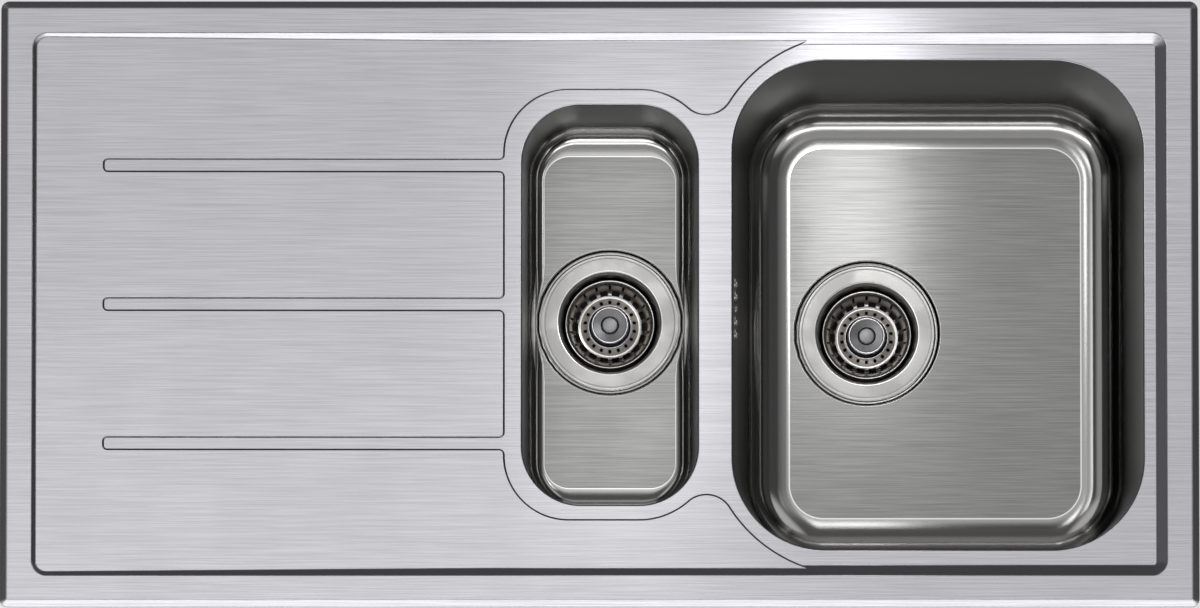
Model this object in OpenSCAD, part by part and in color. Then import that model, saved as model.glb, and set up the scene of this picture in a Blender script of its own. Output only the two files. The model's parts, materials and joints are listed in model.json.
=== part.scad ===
// Inset kitchen sink of stainless steel, with a drainer, a half bowl and a main bowl.
// X runs along the sink with the drainer on the left, Y runs to the rear and Z is up.
// The origin is the middle of the sink on the worktop's surface, where the rim seal rests.

/* [Sheet and rim] */
// Overall length of the sink
sink_l = 1000; // [940:10:1100]
// Overall width of the sink, front to rear
sink_w = 510; // [500:5:540]
// Thickness of the steel sheet
sheet_t = 1; // [0.8:0.1:1.2]
// Height of the rim's top above the worktop
rim_h = 3; // [2.5:0.5:4]
// Width of the sloping outer edge of the rim
rim_bevel = 6; // [5:0.5:6.5]
// Width of the flat part of the rim
land_w = 20.5; // [19.5:0.5:24]
// Radius of the rim's outer corners
rim_corner_r = 7.2; // [7:0.2:12]
// Width of the step wall inside the rim for each mm of its height
step_run = 1.33; // [1:0.01:1.4]
// Radius of the step wall's corners at the rim
step_corner_r = 12.5; // [12:0.5:20]
// Depth of the panel round the bowls below the rim's top
surround_drop = 7; // [6.5:0.5:8]

/* [Drainer] */
// Depth of the drainer's level part below the rim's top
drainer_drop = 4.9; // [4:0.1:5.5]
// Depth of the drainer's high left end below the rim's top
drainer_end_drop = 2.4; // [2:0.1:3.5]
// Distance from the raised panel's edge to where the drainer starts to rise
slope_gap = 4; // [2:1:20]
// Number of grooves in the drainer
groove_count = 3; // [1:1:5]
// Width of a groove
groove_w = 10.4; // [8:0.2:14]
// Distance between the middle lines of two grooves
groove_pitch = 117; // [40:1:120]
// Distance from the sink's left edge to the grooves' ends
groove_inset = 86; // [60:1:160]

/* [Bowls] */
// Distance from the sink's right edge to the main bowl
main_edge_gap = 46; // [46:1:60]
// Length of the main bowl's mouth along X
main_l = 342.8; // [300:0.1:345]
// Distance from the sink's front and rear edges to the main bowl
main_side_gap = 49; // [48:0.5:80]
// Corner radius of the main bowl's mouth
main_r = 77; // [65:1:90]
// Depth of the main bowl below the panel
main_depth = 183; // [160:1:200]
// Radius between the main bowl's wall and floor, seen from above
main_fillet = 35.5; // [28:0.5:38]
// Lean of the main bowl's walls in degrees
main_taper = 5.3; // [3:0.1:6]
// Distance from the main bowl's left edge to the middle of its waste
main_drain_inset = 114; // [113:1:170]
// Distance between the two bowls
bowl_gap = 29.2; // [29:0.2:34]
// Length of the half bowl's mouth along X
half_l = 146.6; // [146:0.2:160]
// Distance from the sink's front and rear edges to the half bowl
half_side_gap = 86.6; // [75:0.2:110]
// Corner radius of the half bowl's mouth
half_r = 49; // [40:1:55]
// Depth of the half bowl below the panel
half_depth = 114; // [100:1:125]
// Run of the half bowl's fillet along X
half_fillet_x = 13; // [10:1:14]
// Run of the half bowl's fillet along Y, and its height
half_fillet_y = 23; // [18:1:26]
// Lean of the half bowl's walls in degrees
half_taper = 3.3; // [2:0.1:3.6]
// Width of the flange that joins a bowl to the panel from below
bowl_flange = 8; // [6:0.5:9]
// Width of the low panel round a bowl
bowl_margin = 12.8; // [10:0.2:14]
// How much wider the low panel is on the drainer's side
drainer_margin = 2.4; // [0:0.2:4]
// Radius of the low panel's corners beside the drainer
panel_corner_r = 54; // [30:1:60]
// Distance from the low panel's edge beside the tongues to the main bowl
main_margin = 21.5; // [19:0.5:23]
// Radius of the low panel's corners beside the main bowl
main_corner_r = 122; // [110:1:130]
// Radius of the raised panel's tongues between the bowls
tongue_r = 22.9; // [18:0.1:24]
// Thickness of the sound-deadening pads
pad_t = 2; // [1:0.5:4]

/* [Waste] */
// Diameter of the waste hole in a bowl's floor
waste_hole_d = 90; // [89:0.5:92]
// Depth of the recess round the waste hole
recess_depth = 4; // [3:0.5:6]
// Gap between the strainer's flange and the edge of the recess
recess_gap = 3; // [2:0.5:3]
// Outer diameter of the strainer's flange
flange_d = 116; // [112:1:116]
// Diameter of the strainer's mouth
strainer_mouth_d = 84; // [82:0.5:84]
// Thickness of the strainer's wall
strainer_wall = 1.5; // [1.2:0.1:2]
// Depth of the strainer's cup
strainer_depth = 42; // [40:1:55]
// Diameter over the outlet's 1 1/2 inch pipe thread
outlet_d = 47.8; // [47:0.1:48.5]
// Diameter of the outlet's bore
outlet_bore_d = 38; // [34:1:40]
// Length of the outlet's threaded neck
neck_l = 17; // [15:1:25]
// Thickness of the seal under the strainer's flange
flange_seal_t = 1.2; // [1:0.1:2]
// Thickness of the gasket under the bowl
gasket_t = 3; // [2:0.5:4]
// Thickness of the friction washer
friction_t = 1; // [0.5:0.1:1.5]
// Height of the lock nut
lock_nut_h = 10; // [8:1:14]
// Diameter over the lock nut's lugs
lock_nut_d = 108; // [104:1:112]
// Number of lugs on the lock nut
lock_nut_lugs = 8; // [6:1:12]
// Outer diameter of the tail pipes
tail_d = 40; // [39:0.5:41]
// Wall of the tail pipes
tail_wall = 2; // [1.5:0.1:3]
// Length of the main bowl's tail pipe
main_tail_l = 92; // [80:1:150]
// Length of the half bowl's tail pipe
half_tail_l = 62; // [50:1:150]
// Length of the thread at the foot of a tail pipe
tail_thread_l = 18; // [15:1:20]
// Distance from the top of the main tail pipe down to its side inlet
inlet_drop = 32; // [30:1:45]

/* [Baskets] */
// Radius of the basket's rim
basket_r = 37.4; // [36:0.1:38.6]
// Depth of the basket
basket_depth = 19.5; // [16:0.5:20]
// Thickness of the basket's sheet
basket_t = 1; // [0.8:0.1:1.2]
// Depth of the basket's rim below the waste recess
basket_sink = 8; // [6:0.5:9]
// Slots, windows and holes in each of the basket's three rings
basket_slots = 18; // [8:1:20]
// Width of a slot in the basket's wall
wall_slot_w = 1.6; // [1:0.1:2]
// Width of a window at the edge of the basket's floor
window_w = 6.6; // [3:0.1:6.8]
// Width of a hole in the ring round the collar
hole_w = 2.7; // [1.5:0.1:3]
// Radius of the knob's head
knob_r = 15.6; // [13:0.1:16.5]
// Radius of the collar under the knob
collar_r = 18.5; // [17:0.1:19]
// Radius of the button in the middle of the knob
button_r = 6.8; // [5:0.1:8]
// Radius of the basket's stem
stem_r = 4; // [3:0.1:5]
// Radius of the rubber seal under the basket
basket_seal_r = 24; // [22:0.5:28]
// Thickness of the rubber seal under the basket
basket_seal_t = 3; // [2:0.5:4]
// Gap between the basket's seal and its seat
seat_gap = 0.3; // [0.2:0.1:0.5]

/* [Overflow] */
// Depth of the overflow slots' middle below the panel
overflow_drop = 28; // [26:1:40]
// Distance between two overflow slots
overflow_pitch = 10.7; // [9:0.1:12]
// Width of an overflow slot
overflow_slot_w = 6; // [5:0.5:7]
// Height of an overflow slot
overflow_slot_h = 15; // [10:1:18]
// Length of the overflow housing along Y
housing_l = 66; // [64:1:80]
// Height of the overflow housing
housing_h = 34; // [32:1:40]
// Depth of the overflow housing behind the bowl's wall
housing_depth = 18; // [16:0.5:19]
// Wall of the overflow housing
housing_wall = 2; // [1.5:0.5:2.5]
// Thickness of the overflow's gasket
overflow_gasket_t = 1.5; // [1:0.5:2]
// Radius of the overflow's screw
overflow_screw_r = 1.8; // [1.5:0.1:2]
// Length of the overflow's screw behind the bowl's wall
overflow_screw_l = 14; // [10:1:16]
// Outer radius of the hose over its ribs
hose_r = 10; // [9.5:0.1:10.5]
// Height of the hose's ribs
rib_h = 1.1; // [0.6:0.1:1.2]
// Wall of the hose between its ribs
hose_wall = 0.9; // [0.8:0.1:1]
// Distance between two ribs
rib_pitch = 3.6; // [3:0.1:6]
// Radius of the hose's bend
hose_bend = 76; // [60:1:80]
// Length of the hose that a spigot fills
spigot_grip = 12; // [8:1:16]

/* [Fixing clips] */
// Clips along each long side
side_clips = 3; // [3:1:3]
// Distance from the sink's ends to the first clip on a long side
clip_end_gap = 150; // [100:5:200]
// Distance from the sink's edge to a clip's screw
clip_inset = 19; // [18:0.5:20]
// Thickness of a clip's sheet
clip_t = 1.5; // [1:0.1:1.8]
// Width of a clip's bracket
clip_w = 24; // [18:1:30]
// Depth of a bracket's foot below the worktop's surface
foot_drop = 18; // [17:0.5:20]
// Radius of the clip's screw
screw_r = 2.5; // [2:0.1:3]
// Length of the clip's screw under its foot
screw_l = 42; // [40:1:60]
// Travel of the clip as its screw is tightened
clip_travel = 14; // [5:1:14]
// Length of the claw from its screw to its tip
claw_l = 28; // [24:1:34]
// Width of the claw
claw_w = 14; // [12:1:18]
// Thickness of the claw
claw_t = 2.5; // [2:0.1:3]
// Height of the claw's upturned tip
claw_h = 15.5; // [10:0.5:18]

/* [Rim seal] */
// Width of the seal under the rim
seal_w = 5; // [3:0.5:5.5]

/* [Hidden] */
$fn = 96;
// Clearance round a screw, a pin or a thread
run_gap = 0.06;
// How far a cut runs past a face
eps = 1;
// How far two stretches of the sheet run into each other where they join
lap = 0.3;
top_z = rim_h;
panel_z = top_z - surround_drop;
flange_z = panel_z - sheet_t;
drainer_z = top_z - drainer_drop;
groove_depth = surround_drop - drainer_drop;
step_edge = rim_bevel + land_w;
step_w = step_run * surround_drop;

main_w = sink_w - 2 * main_side_gap;
half_w = sink_w - 2 * half_side_gap;
main_cx = sink_l / 2 - main_edge_gap - main_l / 2;
main_left = main_cx - main_l / 2;
half_cx = main_left - bowl_gap - half_l / 2;
half_left = half_cx - half_l / 2;
main_floor_z = panel_z - main_depth;
half_floor_z = panel_z - half_depth;
main_drain_x = main_left + main_drain_inset;
half_drain_x = half_cx;
recess_r = flange_d / 2 + recess_gap;
main_seat_z = main_floor_z - recess_depth;
half_seat_z = half_floor_z - recess_depth;
main_fillets = [main_fillet, main_fillet, main_fillet * (1 - sin(main_taper))];
half_fillets = [half_fillet_x, half_fillet_y, half_fillet_y];

low_edge_x = half_left - bowl_margin - drainer_margin;
slope_x = low_edge_x - slope_gap;
drainer_rise = (drainer_drop - drainer_end_drop) / (slope_x + sink_l / 2 - step_edge);

cup_in_r = strainer_mouth_d / 2 - 2.5;
thread_r = strainer_mouth_d / 2 + strainer_wall;
neck_z = -strainer_depth - 5 - neck_l;
tail_washer_t = 1.5;
tail_flange_t = 3;
tail_flange_r = outlet_d / 2 - 1.4;
tail_top_z = neck_z - tail_washer_t;
coupling_h = 20;
coupling_lip = 3.5;
basket_floor_z = -basket_sink - basket_depth;
seal_z = -strainer_depth + seat_gap;
knob_head_z = basket_floor_z + basket_t + 8;
knob_top_z = knob_head_z + 6;

overflow_z = panel_z - overflow_drop;
overflow_x = main_left + overflow_drop * tan(main_taper) - sheet_t;
hose_sides = 8;
spigot_r = (hose_r - rib_h - hose_wall) * cos(180 / hose_sides) - 0.2;
hose_x = overflow_x - overflow_gasket_t - housing_depth / 2 - 1.2;
hose_top_z = overflow_z - housing_h / 2 - 9;
inlet_z = main_seat_z + tail_top_z - inlet_drop;
hose_end_x = main_drain_x - tail_d / 2 - 8;
nut_r = hose_r + 3;
nut_l = spigot_grip + 4;

claw_z = -foot_drop - screw_l + seat_gap;

// Flat outline of a rounded rectangle round the origin
module rounded(l, w, r) {
    square([l - 2 * r, w], center = true);
    square([l, w - 2 * r], center = true);
    for (sx = [-1, 1], sy = [-1, 1])
        translate([sx * (l / 2 - r), sy * (w / 2 - r)]) circle(r);
}

// Sweeps a profile round a rounded rectangle. The profile's x is the distance inward from the
// rectangle's edge, and its y is the height.
module swept_frame(l, w, r) {
    for (a = [0, 180]) rotate([0, 0, a]) {
        translate([-(l / 2 - r), w / 2, 0]) rotate([90, 0, 90])
            linear_extrude(l - 2 * r) mirror([1, 0]) children();
        translate([l / 2, w / 2 - r, 0]) rotate([90, 0, 0])
            linear_extrude(w - 2 * r) mirror([1, 0]) children();
        for (m = [0, 1]) mirror([m, 0, 0])
            translate([l / 2 - r, w / 2 - r, 0])
                rotate_extrude(angle = 90) translate([r, 0]) mirror([1, 0]) children();
    }
}

// Points of a rounded rectangle, counter-clockwise, with arc_steps in each corner and
// side_steps along each side
arc_steps = 8;
side_steps = 9;
ring_points = 4 * (arc_steps + side_steps + 1);
function corner_middle(k, hx, hy, r) =
    [(k == 0 || k == 3 ? 1 : -1) * (hx - r), (k < 2 ? 1 : -1) * (hy - r)];
function arc_point(k, a, hx, hy, r) = corner_middle(k, hx, hy, r) + r * [cos(90 * k + a), sin(90 * k + a)];
function rounded_points(hx, hy, r) = [
    for (k = [0 : 3], i = [0 : arc_steps + side_steps])
        i <= arc_steps
            ? arc_point(k, 90 * i / arc_steps, hx, hy, r)
            : let (a = arc_point(k, 90, hx, hy, r), b = arc_point((k + 1) % 4, 0, hx, hy, r))
                a + (b - a) * (i - arc_steps) / (side_steps + 1)
];

// One ring of a bowl's wall, pushed out to a circle of radius keep round the waste
function bowl_ring(cx, hx, hy, r, z, drain_x, keep) = [
    for (p = rounded_points(hx, hy, r))
        let (x = p.x + cx, reach = sqrt(max(0, keep * keep - p.y * p.y)))
            [abs(x - drain_x) < reach ? drain_x + sign(x - drain_x) * reach : x, p.y, z]
];

// A circle round the waste whose points lie in the directions of another ring's points
function waste_ring(guide, drain_x, r, z) = [
    for (p = guide) let (a = atan2(p.y, p.x - drain_x)) [drain_x + r * cos(a), r * sin(a), z]
];

// A closed skin through rings of equal numbers of points, where the last ring meets the first
module ring_skin(rings) {
    n = len(rings[0]);
    m = len(rings);
    points = [for (ring = rings, p = ring) p];
    faces = [
        for (j = [0 : m - 1], i = [0 : n - 1], half = [0, 1])
            let (
                a = j * n + i,
                b = j * n + (i + 1) % n,
                c = ((j + 1) % m) * n + (i + 1) % n,
                d = ((j + 1) % m) * n + i
            ) half == 0 ? [a, b, c] : [a, c, d]
    ];
    polyhedron(points = points, faces = faces, convexity = 6);
}

// A drawn bowl: flange, leaning walls, fillet, flat floor, recess and waste hole
fillet_steps = 5;
module drawn_bowl(cx, l, w, r, depth, taper, fillets, drain_x) {
    floor_z = panel_z - depth;
    lean = (depth - fillets.z) * tan(taper);
    inside = recess_r + 1.5;
    under = 2 * sheet_t * tan(taper) - sheet_t;
    function wall_ring(inset_x, inset_y, z, keep) =
        bowl_ring(cx, l / 2 - inset_x, w / 2 - inset_y, r - max(inset_x, inset_y), z, drain_x, keep);
    function fillet_ring(a, t) = wall_ring(
        lean + fillets.x * (1 - cos(a)) - t * cos(a),
        lean + fillets.y * (1 - cos(a)) - t * cos(a),
        floor_z + fillets.z * (1 - sin(a)) - t * sin(a),
        inside + t
    );
    guide = fillet_ring(90, 0);
    ring_skin(concat(
        [wall_ring(sheet_t * tan(taper), sheet_t * tan(taper), flange_z, inside)],
        [for (i = [0 : fillet_steps]) fillet_ring(90 * i / fillet_steps, 0)],
        [waste_ring(guide, drain_x, recess_r, floor_z)],
        [waste_ring(guide, drain_x, recess_r - 1.5, floor_z - recess_depth)],
        [waste_ring(guide, drain_x, waste_hole_d / 2, floor_z - recess_depth)],
        [waste_ring(guide, drain_x, waste_hole_d / 2, floor_z - recess_depth - sheet_t)],
        [waste_ring(guide, drain_x, recess_r - 1.5 + sheet_t, floor_z - recess_depth - sheet_t)],
        [waste_ring(guide, drain_x, recess_r + sheet_t, floor_z - sheet_t)],
        [for (i = [fillet_steps : -1 : 0]) fillet_ring(90 * i / fillet_steps, sheet_t)],
        [wall_ring(under, under, flange_z - sheet_t, inside)],
        [wall_ring(-bowl_flange, -bowl_flange, flange_z - sheet_t, inside)],
        [wall_ring(-bowl_flange, -bowl_flange, flange_z, inside)]
    ));
}

// Outline of the low panel round both bowls, with a rounded tongue of the raised panel
// between them at the front and at the rear. It runs on past the sink's right edge.
module low_shape(grow) {
    edge = main_left - main_margin;
    offset(r = grow) offset(r = -tongue_r) offset(delta = tongue_r) union() {
        translate([half_cx, 0])
            rounded(half_l + 2 * bowl_margin, half_w + 2 * bowl_margin, half_r + bowl_margin);
        translate([low_edge_x + half_l / 2, 0])
            rounded(half_l, half_w + 2 * bowl_margin, panel_corner_r);
        translate([(edge + sink_l) / 2, 0])
            rounded(sink_l - edge, sink_w - 2 * step_edge, main_corner_r);
        translate([main_left - bowl_gap / 2, 0]) square([bowl_gap, half_w - 20], center = true);
    }
}

// The same outline as far as the step wall's face at some depth below the rim's top
module low_outline(grow, drop) {
    inset = step_edge + step_run * drop - lap;
    intersection() {
        rounded(sink_l - 2 * inset, sink_w - 2 * inset, step_corner_r - step_run * drop + lap);
        low_shape(grow);
    }
}

// The space between two heights that follow the drainer's slope
module drainer_band(low, high) {
    left = -sink_l / 2;
    rise = drainer_rise * (slope_x - left);
    right = sink_l / 2;
    translate([0, sink_w / 2, 0]) rotate([90, 0, 0]) linear_extrude(sink_w) polygon([
        [left, drainer_z + rise + high], [slope_x, drainer_z + high], [right, drainer_z + high],
        [right, drainer_z + low], [slope_x, drainer_z + low], [left, drainer_z + rise + low]
    ]);
}

// The grooves' outlines, which run on into the low panel
module groove_outline(grow) {
    start = -sink_l / 2 + groove_inset + groove_w / 2;
    for (i = [0 : groove_count - 1]) translate([0, (i - (groove_count - 1) / 2) * groove_pitch]) {
        translate([start, 0]) circle(groove_w / 2 + grow);
        translate([start, -groove_w / 2 - grow]) square([low_edge_x + 6 - start, groove_w + 2 * grow]);
    }
}

module step_outline() {
    rounded(sink_l - 2 * step_edge, sink_w - 2 * step_edge, step_corner_r);
}

// The plan of the raised panel: inside the rim and outside the low panel
module raised_plan() {
    translate([0, 0, -30]) linear_extrude(60) difference() {
        step_outline();
        low_shape(0);
    }
}

// One pressed sheet: rim, step wall, sloping drainer with its grooves, and the low panel
module deck_panel() {
    color("lightsteelblue") difference() {
        union() {
            swept_frame(sink_l, sink_w, rim_corner_r)
                polygon([
                    [0, sheet_t], [rim_bevel, top_z], [rim_bevel + lap, top_z],
                    [rim_bevel + lap, top_z - sheet_t], [rim_bevel, top_z - sheet_t], [0, 0]
                ]);
            translate([0, 0, top_z - sheet_t]) linear_extrude(sheet_t) difference() {
                rounded(sink_l - 2 * rim_bevel, sink_w - 2 * rim_bevel, rim_corner_r - rim_bevel);
                step_outline();
            }
            difference() {
                swept_frame(sink_l - 2 * step_edge, sink_w - 2 * step_edge, step_corner_r)
                    polygon([
                        [-lap, top_z], [0, top_z], [step_w, panel_z],
                        [step_w, flange_z], [0, top_z - sheet_t], [-lap, top_z - sheet_t]
                    ]);
                intersection() {
                    raised_plan();
                    drainer_band(-20, -sheet_t);
                }
            }
            difference() {
                union() {
                    intersection() {
                        raised_plan();
                        drainer_band(-sheet_t, 0);
                    }
                    translate([0, 0, flange_z]) linear_extrude(drainer_z - flange_z) difference() {
                        low_outline(sheet_t, drainer_drop);
                        low_shape(0);
                    }
                }
                swept_frame(sink_l - 2 * step_edge, sink_w - 2 * step_edge, step_corner_r)
                    polygon([
                        [-eps, top_z - sheet_t], [0, top_z - sheet_t],
                        [step_w, flange_z], [step_w, -20], [-eps, -20]
                    ]);
            }
            translate([0, 0, flange_z]) linear_extrude(sheet_t) low_outline(0, surround_drop);
            intersection() {
                raised_plan();
                drainer_band(-groove_depth - sheet_t, -sheet_t / 2);
                translate([0, 0, -30]) linear_extrude(60) groove_outline(sheet_t);
            }
        }
        intersection() {
            drainer_band(-groove_depth, 20);
            translate([0, 0, -30]) linear_extrude(60) groove_outline(0);
            translate([-sink_l / 2, -sink_w / 2, panel_z]) cube([sink_l, sink_w, 20]);
        }
        translate([main_cx, 0, flange_z - eps]) linear_extrude(sheet_t + 2 * eps)
            rounded(main_l, main_w, main_r);
        translate([half_cx, 0, flange_z - eps]) linear_extrude(sheet_t + 2 * eps)
            rounded(half_l, half_w, half_r);
    }
}

// Places its children on the outer face of the main bowl's left wall, at the overflow
module at_overflow() {
    translate([overflow_x, 0, overflow_z]) rotate([0, -main_taper, 0]) children();
}

// The overflow's slots, two on each side of the screw
module overflow_slots() {
    for (i = [-2, -1, 1, 2]) translate([sheet_t, i * overflow_pitch, 0])
        cube([sheet_t * 6, overflow_slot_w, overflow_slot_h], center = true);
}

module main_bowl() {
    color("silver") difference() {
        drawn_bowl(main_cx, main_l, main_w, main_r, main_depth, main_taper, main_fillets, main_drain_x);
        at_overflow() {
            overflow_slots();
            overflow_screw_hole(-sheet_t * 2, sheet_t * 6);
        }
    }
}

module half_bowl() {
    color("silver")
        drawn_bowl(half_cx, half_l, half_w, half_r, half_depth, half_taper, half_fillets, half_drain_x);
}

// A pad on the main bowl's floor, beside the waste
module main_bowl_pad() {
    lean = (main_depth - main_fillets.z) * tan(main_taper);
    low_x = main_drain_x + recess_r + 14;
    high_x = main_cx + main_l / 2 - lean - main_fillet - 8;
    half_y = main_w / 2 - lean - main_fillet - 30;
    color("dimgray") translate([(low_x + high_x) / 2, 0, main_floor_z - sheet_t - pad_t])
        linear_extrude(pad_t) rounded(high_x - low_x, 2 * half_y, 8);
}

// Two pads on the half bowl's floor, in front of the waste and behind it
module half_bowl_pad() {
    lean = (half_depth - half_fillets.z) * tan(half_taper);
    low_y = recess_r + 10;
    high_y = half_w / 2 - lean - half_fillet_y - 6;
    wide = half_l - 2 * (lean + half_fillet_x + 12);
    color("dimgray") for (s = [-1, 1])
        translate([half_cx, s * (low_y + high_y) / 2, half_floor_z - sheet_t - pad_t])
            linear_extrude(pad_t) rounded(wide, high_y - low_y, 8);
}

module rim_seal() {
    inner = rim_bevel + seal_w;
    color("black") linear_extrude(top_z - sheet_t) difference() {
        rounded(sink_l - 2 * rim_bevel, sink_w - 2 * rim_bevel, rim_corner_r - rim_bevel);
        rounded(sink_l - 2 * inner, sink_w - 2 * inner, step_corner_r);
    }
}

module ring(r_out, r_in, z, h) {
    translate([0, 0, z]) difference() {
        cylinder(r = r_out, h = h);
        translate([0, 0, -eps]) cylinder(r = r_in, h = h + 2 * eps);
    }
}

// The strainer's cup with its flange above and its threaded outlet below
module strainer_body() {
    fr = flange_d / 2;
    mr = strainer_mouth_d / 2;
    top = flange_seal_t + strainer_wall;
    color("silver") rotate_extrude() polygon([
        [fr, flange_seal_t], [fr, top - 0.7], [fr - 1.2, top - 0.1], [mr + 5, top],
        [mr + 2, top - 0.3], [mr + 0.5, top - 1.2], [mr, top - 2.6], [mr - 0.7, -6],
        [cup_in_r, -12], [cup_in_r, 8 - strainer_depth], [cup_in_r - 4, -strainer_depth],
        [outlet_bore_d / 2, -strainer_depth], [outlet_bore_d / 2, neck_z], [outlet_d / 2, neck_z],
        [outlet_d / 2, -strainer_depth - 5], [cup_in_r - 3, -strainer_depth - 2],
        [cup_in_r + strainer_wall, 7 - strainer_depth], [cup_in_r + strainer_wall, -23],
        [thread_r, -21], [thread_r, flange_seal_t]
    ]);
}

module flange_seal() {
    color("black") ring(flange_d / 2 - 2, waste_hole_d / 2 + 1, 0, flange_seal_t);
}

module bowl_gasket() {
    color("dimgray") ring(waste_hole_d / 2 + 11, waste_hole_d / 2 + 0.5, -sheet_t - gasket_t, gasket_t);
}

module friction_washer() {
    color("tan") ring(waste_hole_d / 2 + 10, thread_r + 0.3, -sheet_t - gasket_t - friction_t, friction_t);
}

module lock_nut() {
    low = -sheet_t - gasket_t - friction_t - lock_nut_h;
    color("gainsboro") difference() {
        union() {
            translate([0, 0, low]) cylinder(r = lock_nut_d / 2 - 4, h = lock_nut_h);
            for (i = [0 : lock_nut_lugs - 1]) rotate([0, 0, 360 / lock_nut_lugs * i])
                translate([lock_nut_d / 2 - 8, -5, low]) cube([8, 10, lock_nut_h - 2]);
        }
        translate([0, 0, low - eps]) cylinder(r = thread_r + run_gap, h = lock_nut_h + 2 * eps);
    }
}

module tail_washer() {
    color("black") ring(tail_flange_r, outlet_bore_d / 2, tail_top_z, tail_washer_t);
}

// A flanged pipe with a thread at its foot. The main bowl's one has a side inlet for the hose.
module tail_piece(length, has_inlet) {
    bore = tail_d / 2 - tail_wall;
    foot = tail_top_z - length;
    color("whitesmoke") difference() {
        union() {
            translate([0, 0, tail_top_z - tail_flange_t]) cylinder(r = tail_flange_r, h = tail_flange_t);
            translate([0, 0, foot]) cylinder(r = tail_d / 2, h = length);
            translate([0, 0, foot]) cylinder(r = outlet_d / 2, h = tail_thread_l);
            if (has_inlet) translate([0, 0, tail_top_z - inlet_drop]) rotate([0, -90, 0])
                cylinder(r = spigot_r, h = tail_d / 2 + 8 + spigot_grip);
        }
        translate([0, 0, foot - eps]) cylinder(r = bore, h = length + 2 * eps);
        if (has_inlet) translate([0, 0, tail_top_z - inlet_drop]) rotate([0, -90, 0])
            cylinder(r = spigot_r - 1.5, h = tail_d + spigot_grip);
    }
}

module coupling_nut() {
    low = tail_top_z - tail_flange_t - coupling_lip;
    color("gainsboro") difference() {
        union() {
            translate([0, 0, low]) cylinder(r = outlet_d / 2 + 4, h = coupling_h);
            for (i = [0 : 11]) rotate([0, 0, 30 * i])
                translate([outlet_d / 2 + 2, -2, low]) cube([4, 4, coupling_h - 2]);
        }
        translate([0, 0, low + coupling_lip]) cylinder(r = outlet_d / 2 + run_gap, h = coupling_h);
        translate([0, 0, low - eps]) cylinder(r = tail_d / 2 + 0.3, h = coupling_h);
    }
}

// A ring of cuts between two radii and two heights, turned by a share of their pitch
module slot_ring(turn, r_in, r_out, w, low, high) {
    for (i = [0 : basket_slots - 1]) rotate([0, 0, 360 / basket_slots * (i + turn)])
        translate([r_in, -w / 2, low]) cube([r_out - r_in, w, high - low]);
}

// The basket: a rim, a sloping shoulder, a slotted wall and a floor with windows and holes
module basket_cup() {
    low = basket_floor_z;
    rim = -basket_sink;
    head_r = basket_r - 3.6;
    foot_r = basket_r - 5.2;
    floor_r = basket_r - 7.4;
    color("rosybrown") difference() {
        rotate_extrude() polygon([
            [basket_r, rim], [basket_r, rim - 1.2], [head_r, rim - 5.5], [foot_r, low + 2.5],
            [floor_r, low], [stem_r + run_gap, low], [stem_r + run_gap, low + basket_t],
            [floor_r - 0.4, low + basket_t], [foot_r - basket_t, low + 2.9],
            [head_r - basket_t, rim - 5.1], [basket_r - basket_t, rim]
        ]);
        slot_ring(0.5, foot_r - 3, head_r + 2, wall_slot_w, low + 3.5, rim - 6);
        slot_ring(0, floor_r - 4.5, floor_r + 0.4, window_w, low - eps, low + basket_t + 1.2);
        slot_ring(0.5, collar_r + 2, collar_r + 5, hole_w, low - eps, low + basket_t + eps);
    }
}

module basket_seal() {
    color("black") ring(basket_seal_r, stem_r + run_gap, seal_z, basket_seal_t);
}

// The stem's foot holds the seal, and its sleeve carries the basket
module basket_stem() {
    top = seal_z + basket_seal_t;
    color("silver") {
        translate([0, 0, seal_z - 2]) cylinder(r = stem_r, h = knob_head_z - 2 - seal_z);
        translate([0, 0, seal_z - 2]) cylinder(r = 9, h = 2);
        translate([0, 0, top]) cylinder(r = 12, h = 1);
        translate([0, 0, top]) cylinder(r = stem_r + 3, h = basket_floor_z - top);
    }
}

module basket_knob() {
    base = basket_floor_z + basket_t;
    color("gray") difference() {
        rotate_extrude() polygon([
            [0, base], [collar_r, base], [collar_r, base + 1.2], [collar_r - 1.5, base + 2.4],
            [8, base + 4], [7, base + 5], [7, knob_head_z - 1.5], [knob_r - 1.6, knob_head_z],
            [knob_r, knob_head_z + 2], [knob_r, knob_top_z - 1], [knob_r - 0.8, knob_top_z],
            [knob_r - 1.6, knob_top_z], [knob_r - 2.4, knob_top_z - 0.8],
            [button_r + 1, knob_top_z - 1.6], [0, knob_top_z - 1.6]
        ]);
        translate([0, 0, base - eps]) cylinder(r = stem_r + run_gap, h = knob_head_z - base + eps + 0.3);
    }
}

module knob_button() {
    color("lightgray") translate([0, 0, knob_top_z - 1.6]) rotate_extrude()
        polygon([[0, 0], [button_r, 0], [button_r, 0.8], [button_r - 0.8, 1.6], [0, 2]]);
}

module overflow_gasket() {
    color("black") at_overflow() difference() {
        translate([-overflow_gasket_t, -housing_l / 2, -housing_h / 2])
            cube([overflow_gasket_t, housing_l, housing_h]);
        overflow_window(-overflow_gasket_t - eps, overflow_gasket_t + 2 * eps);
        overflow_screw_hole(-overflow_gasket_t - eps, overflow_gasket_t + 2 * eps);
    }
}

// The clear space behind the slots, with the screw's boss left standing in its middle
module overflow_window(x, depth) {
    wide = 2 * (2 * overflow_pitch + overflow_slot_w / 2) + 2;
    translate([x, 0, 0]) difference() {
        translate([0, -wide / 2, -overflow_slot_h / 2 - 1]) cube([depth, wide, overflow_slot_h + 2]);
        translate([-eps, 0, 0]) rotate([0, 90, 0]) cylinder(r = 4, h = depth + 2 * eps);
        // A rib from the boss to the upper wall
        translate([-eps, -1, 0]) cube([depth + 2 * eps, 2, overflow_slot_h]);
    }
}

module overflow_screw_hole(x, depth) {
    translate([x, 0, 0]) rotate([0, 90, 0]) cylinder(r = overflow_screw_r + run_gap, h = depth, $fn = 48);
}

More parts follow.
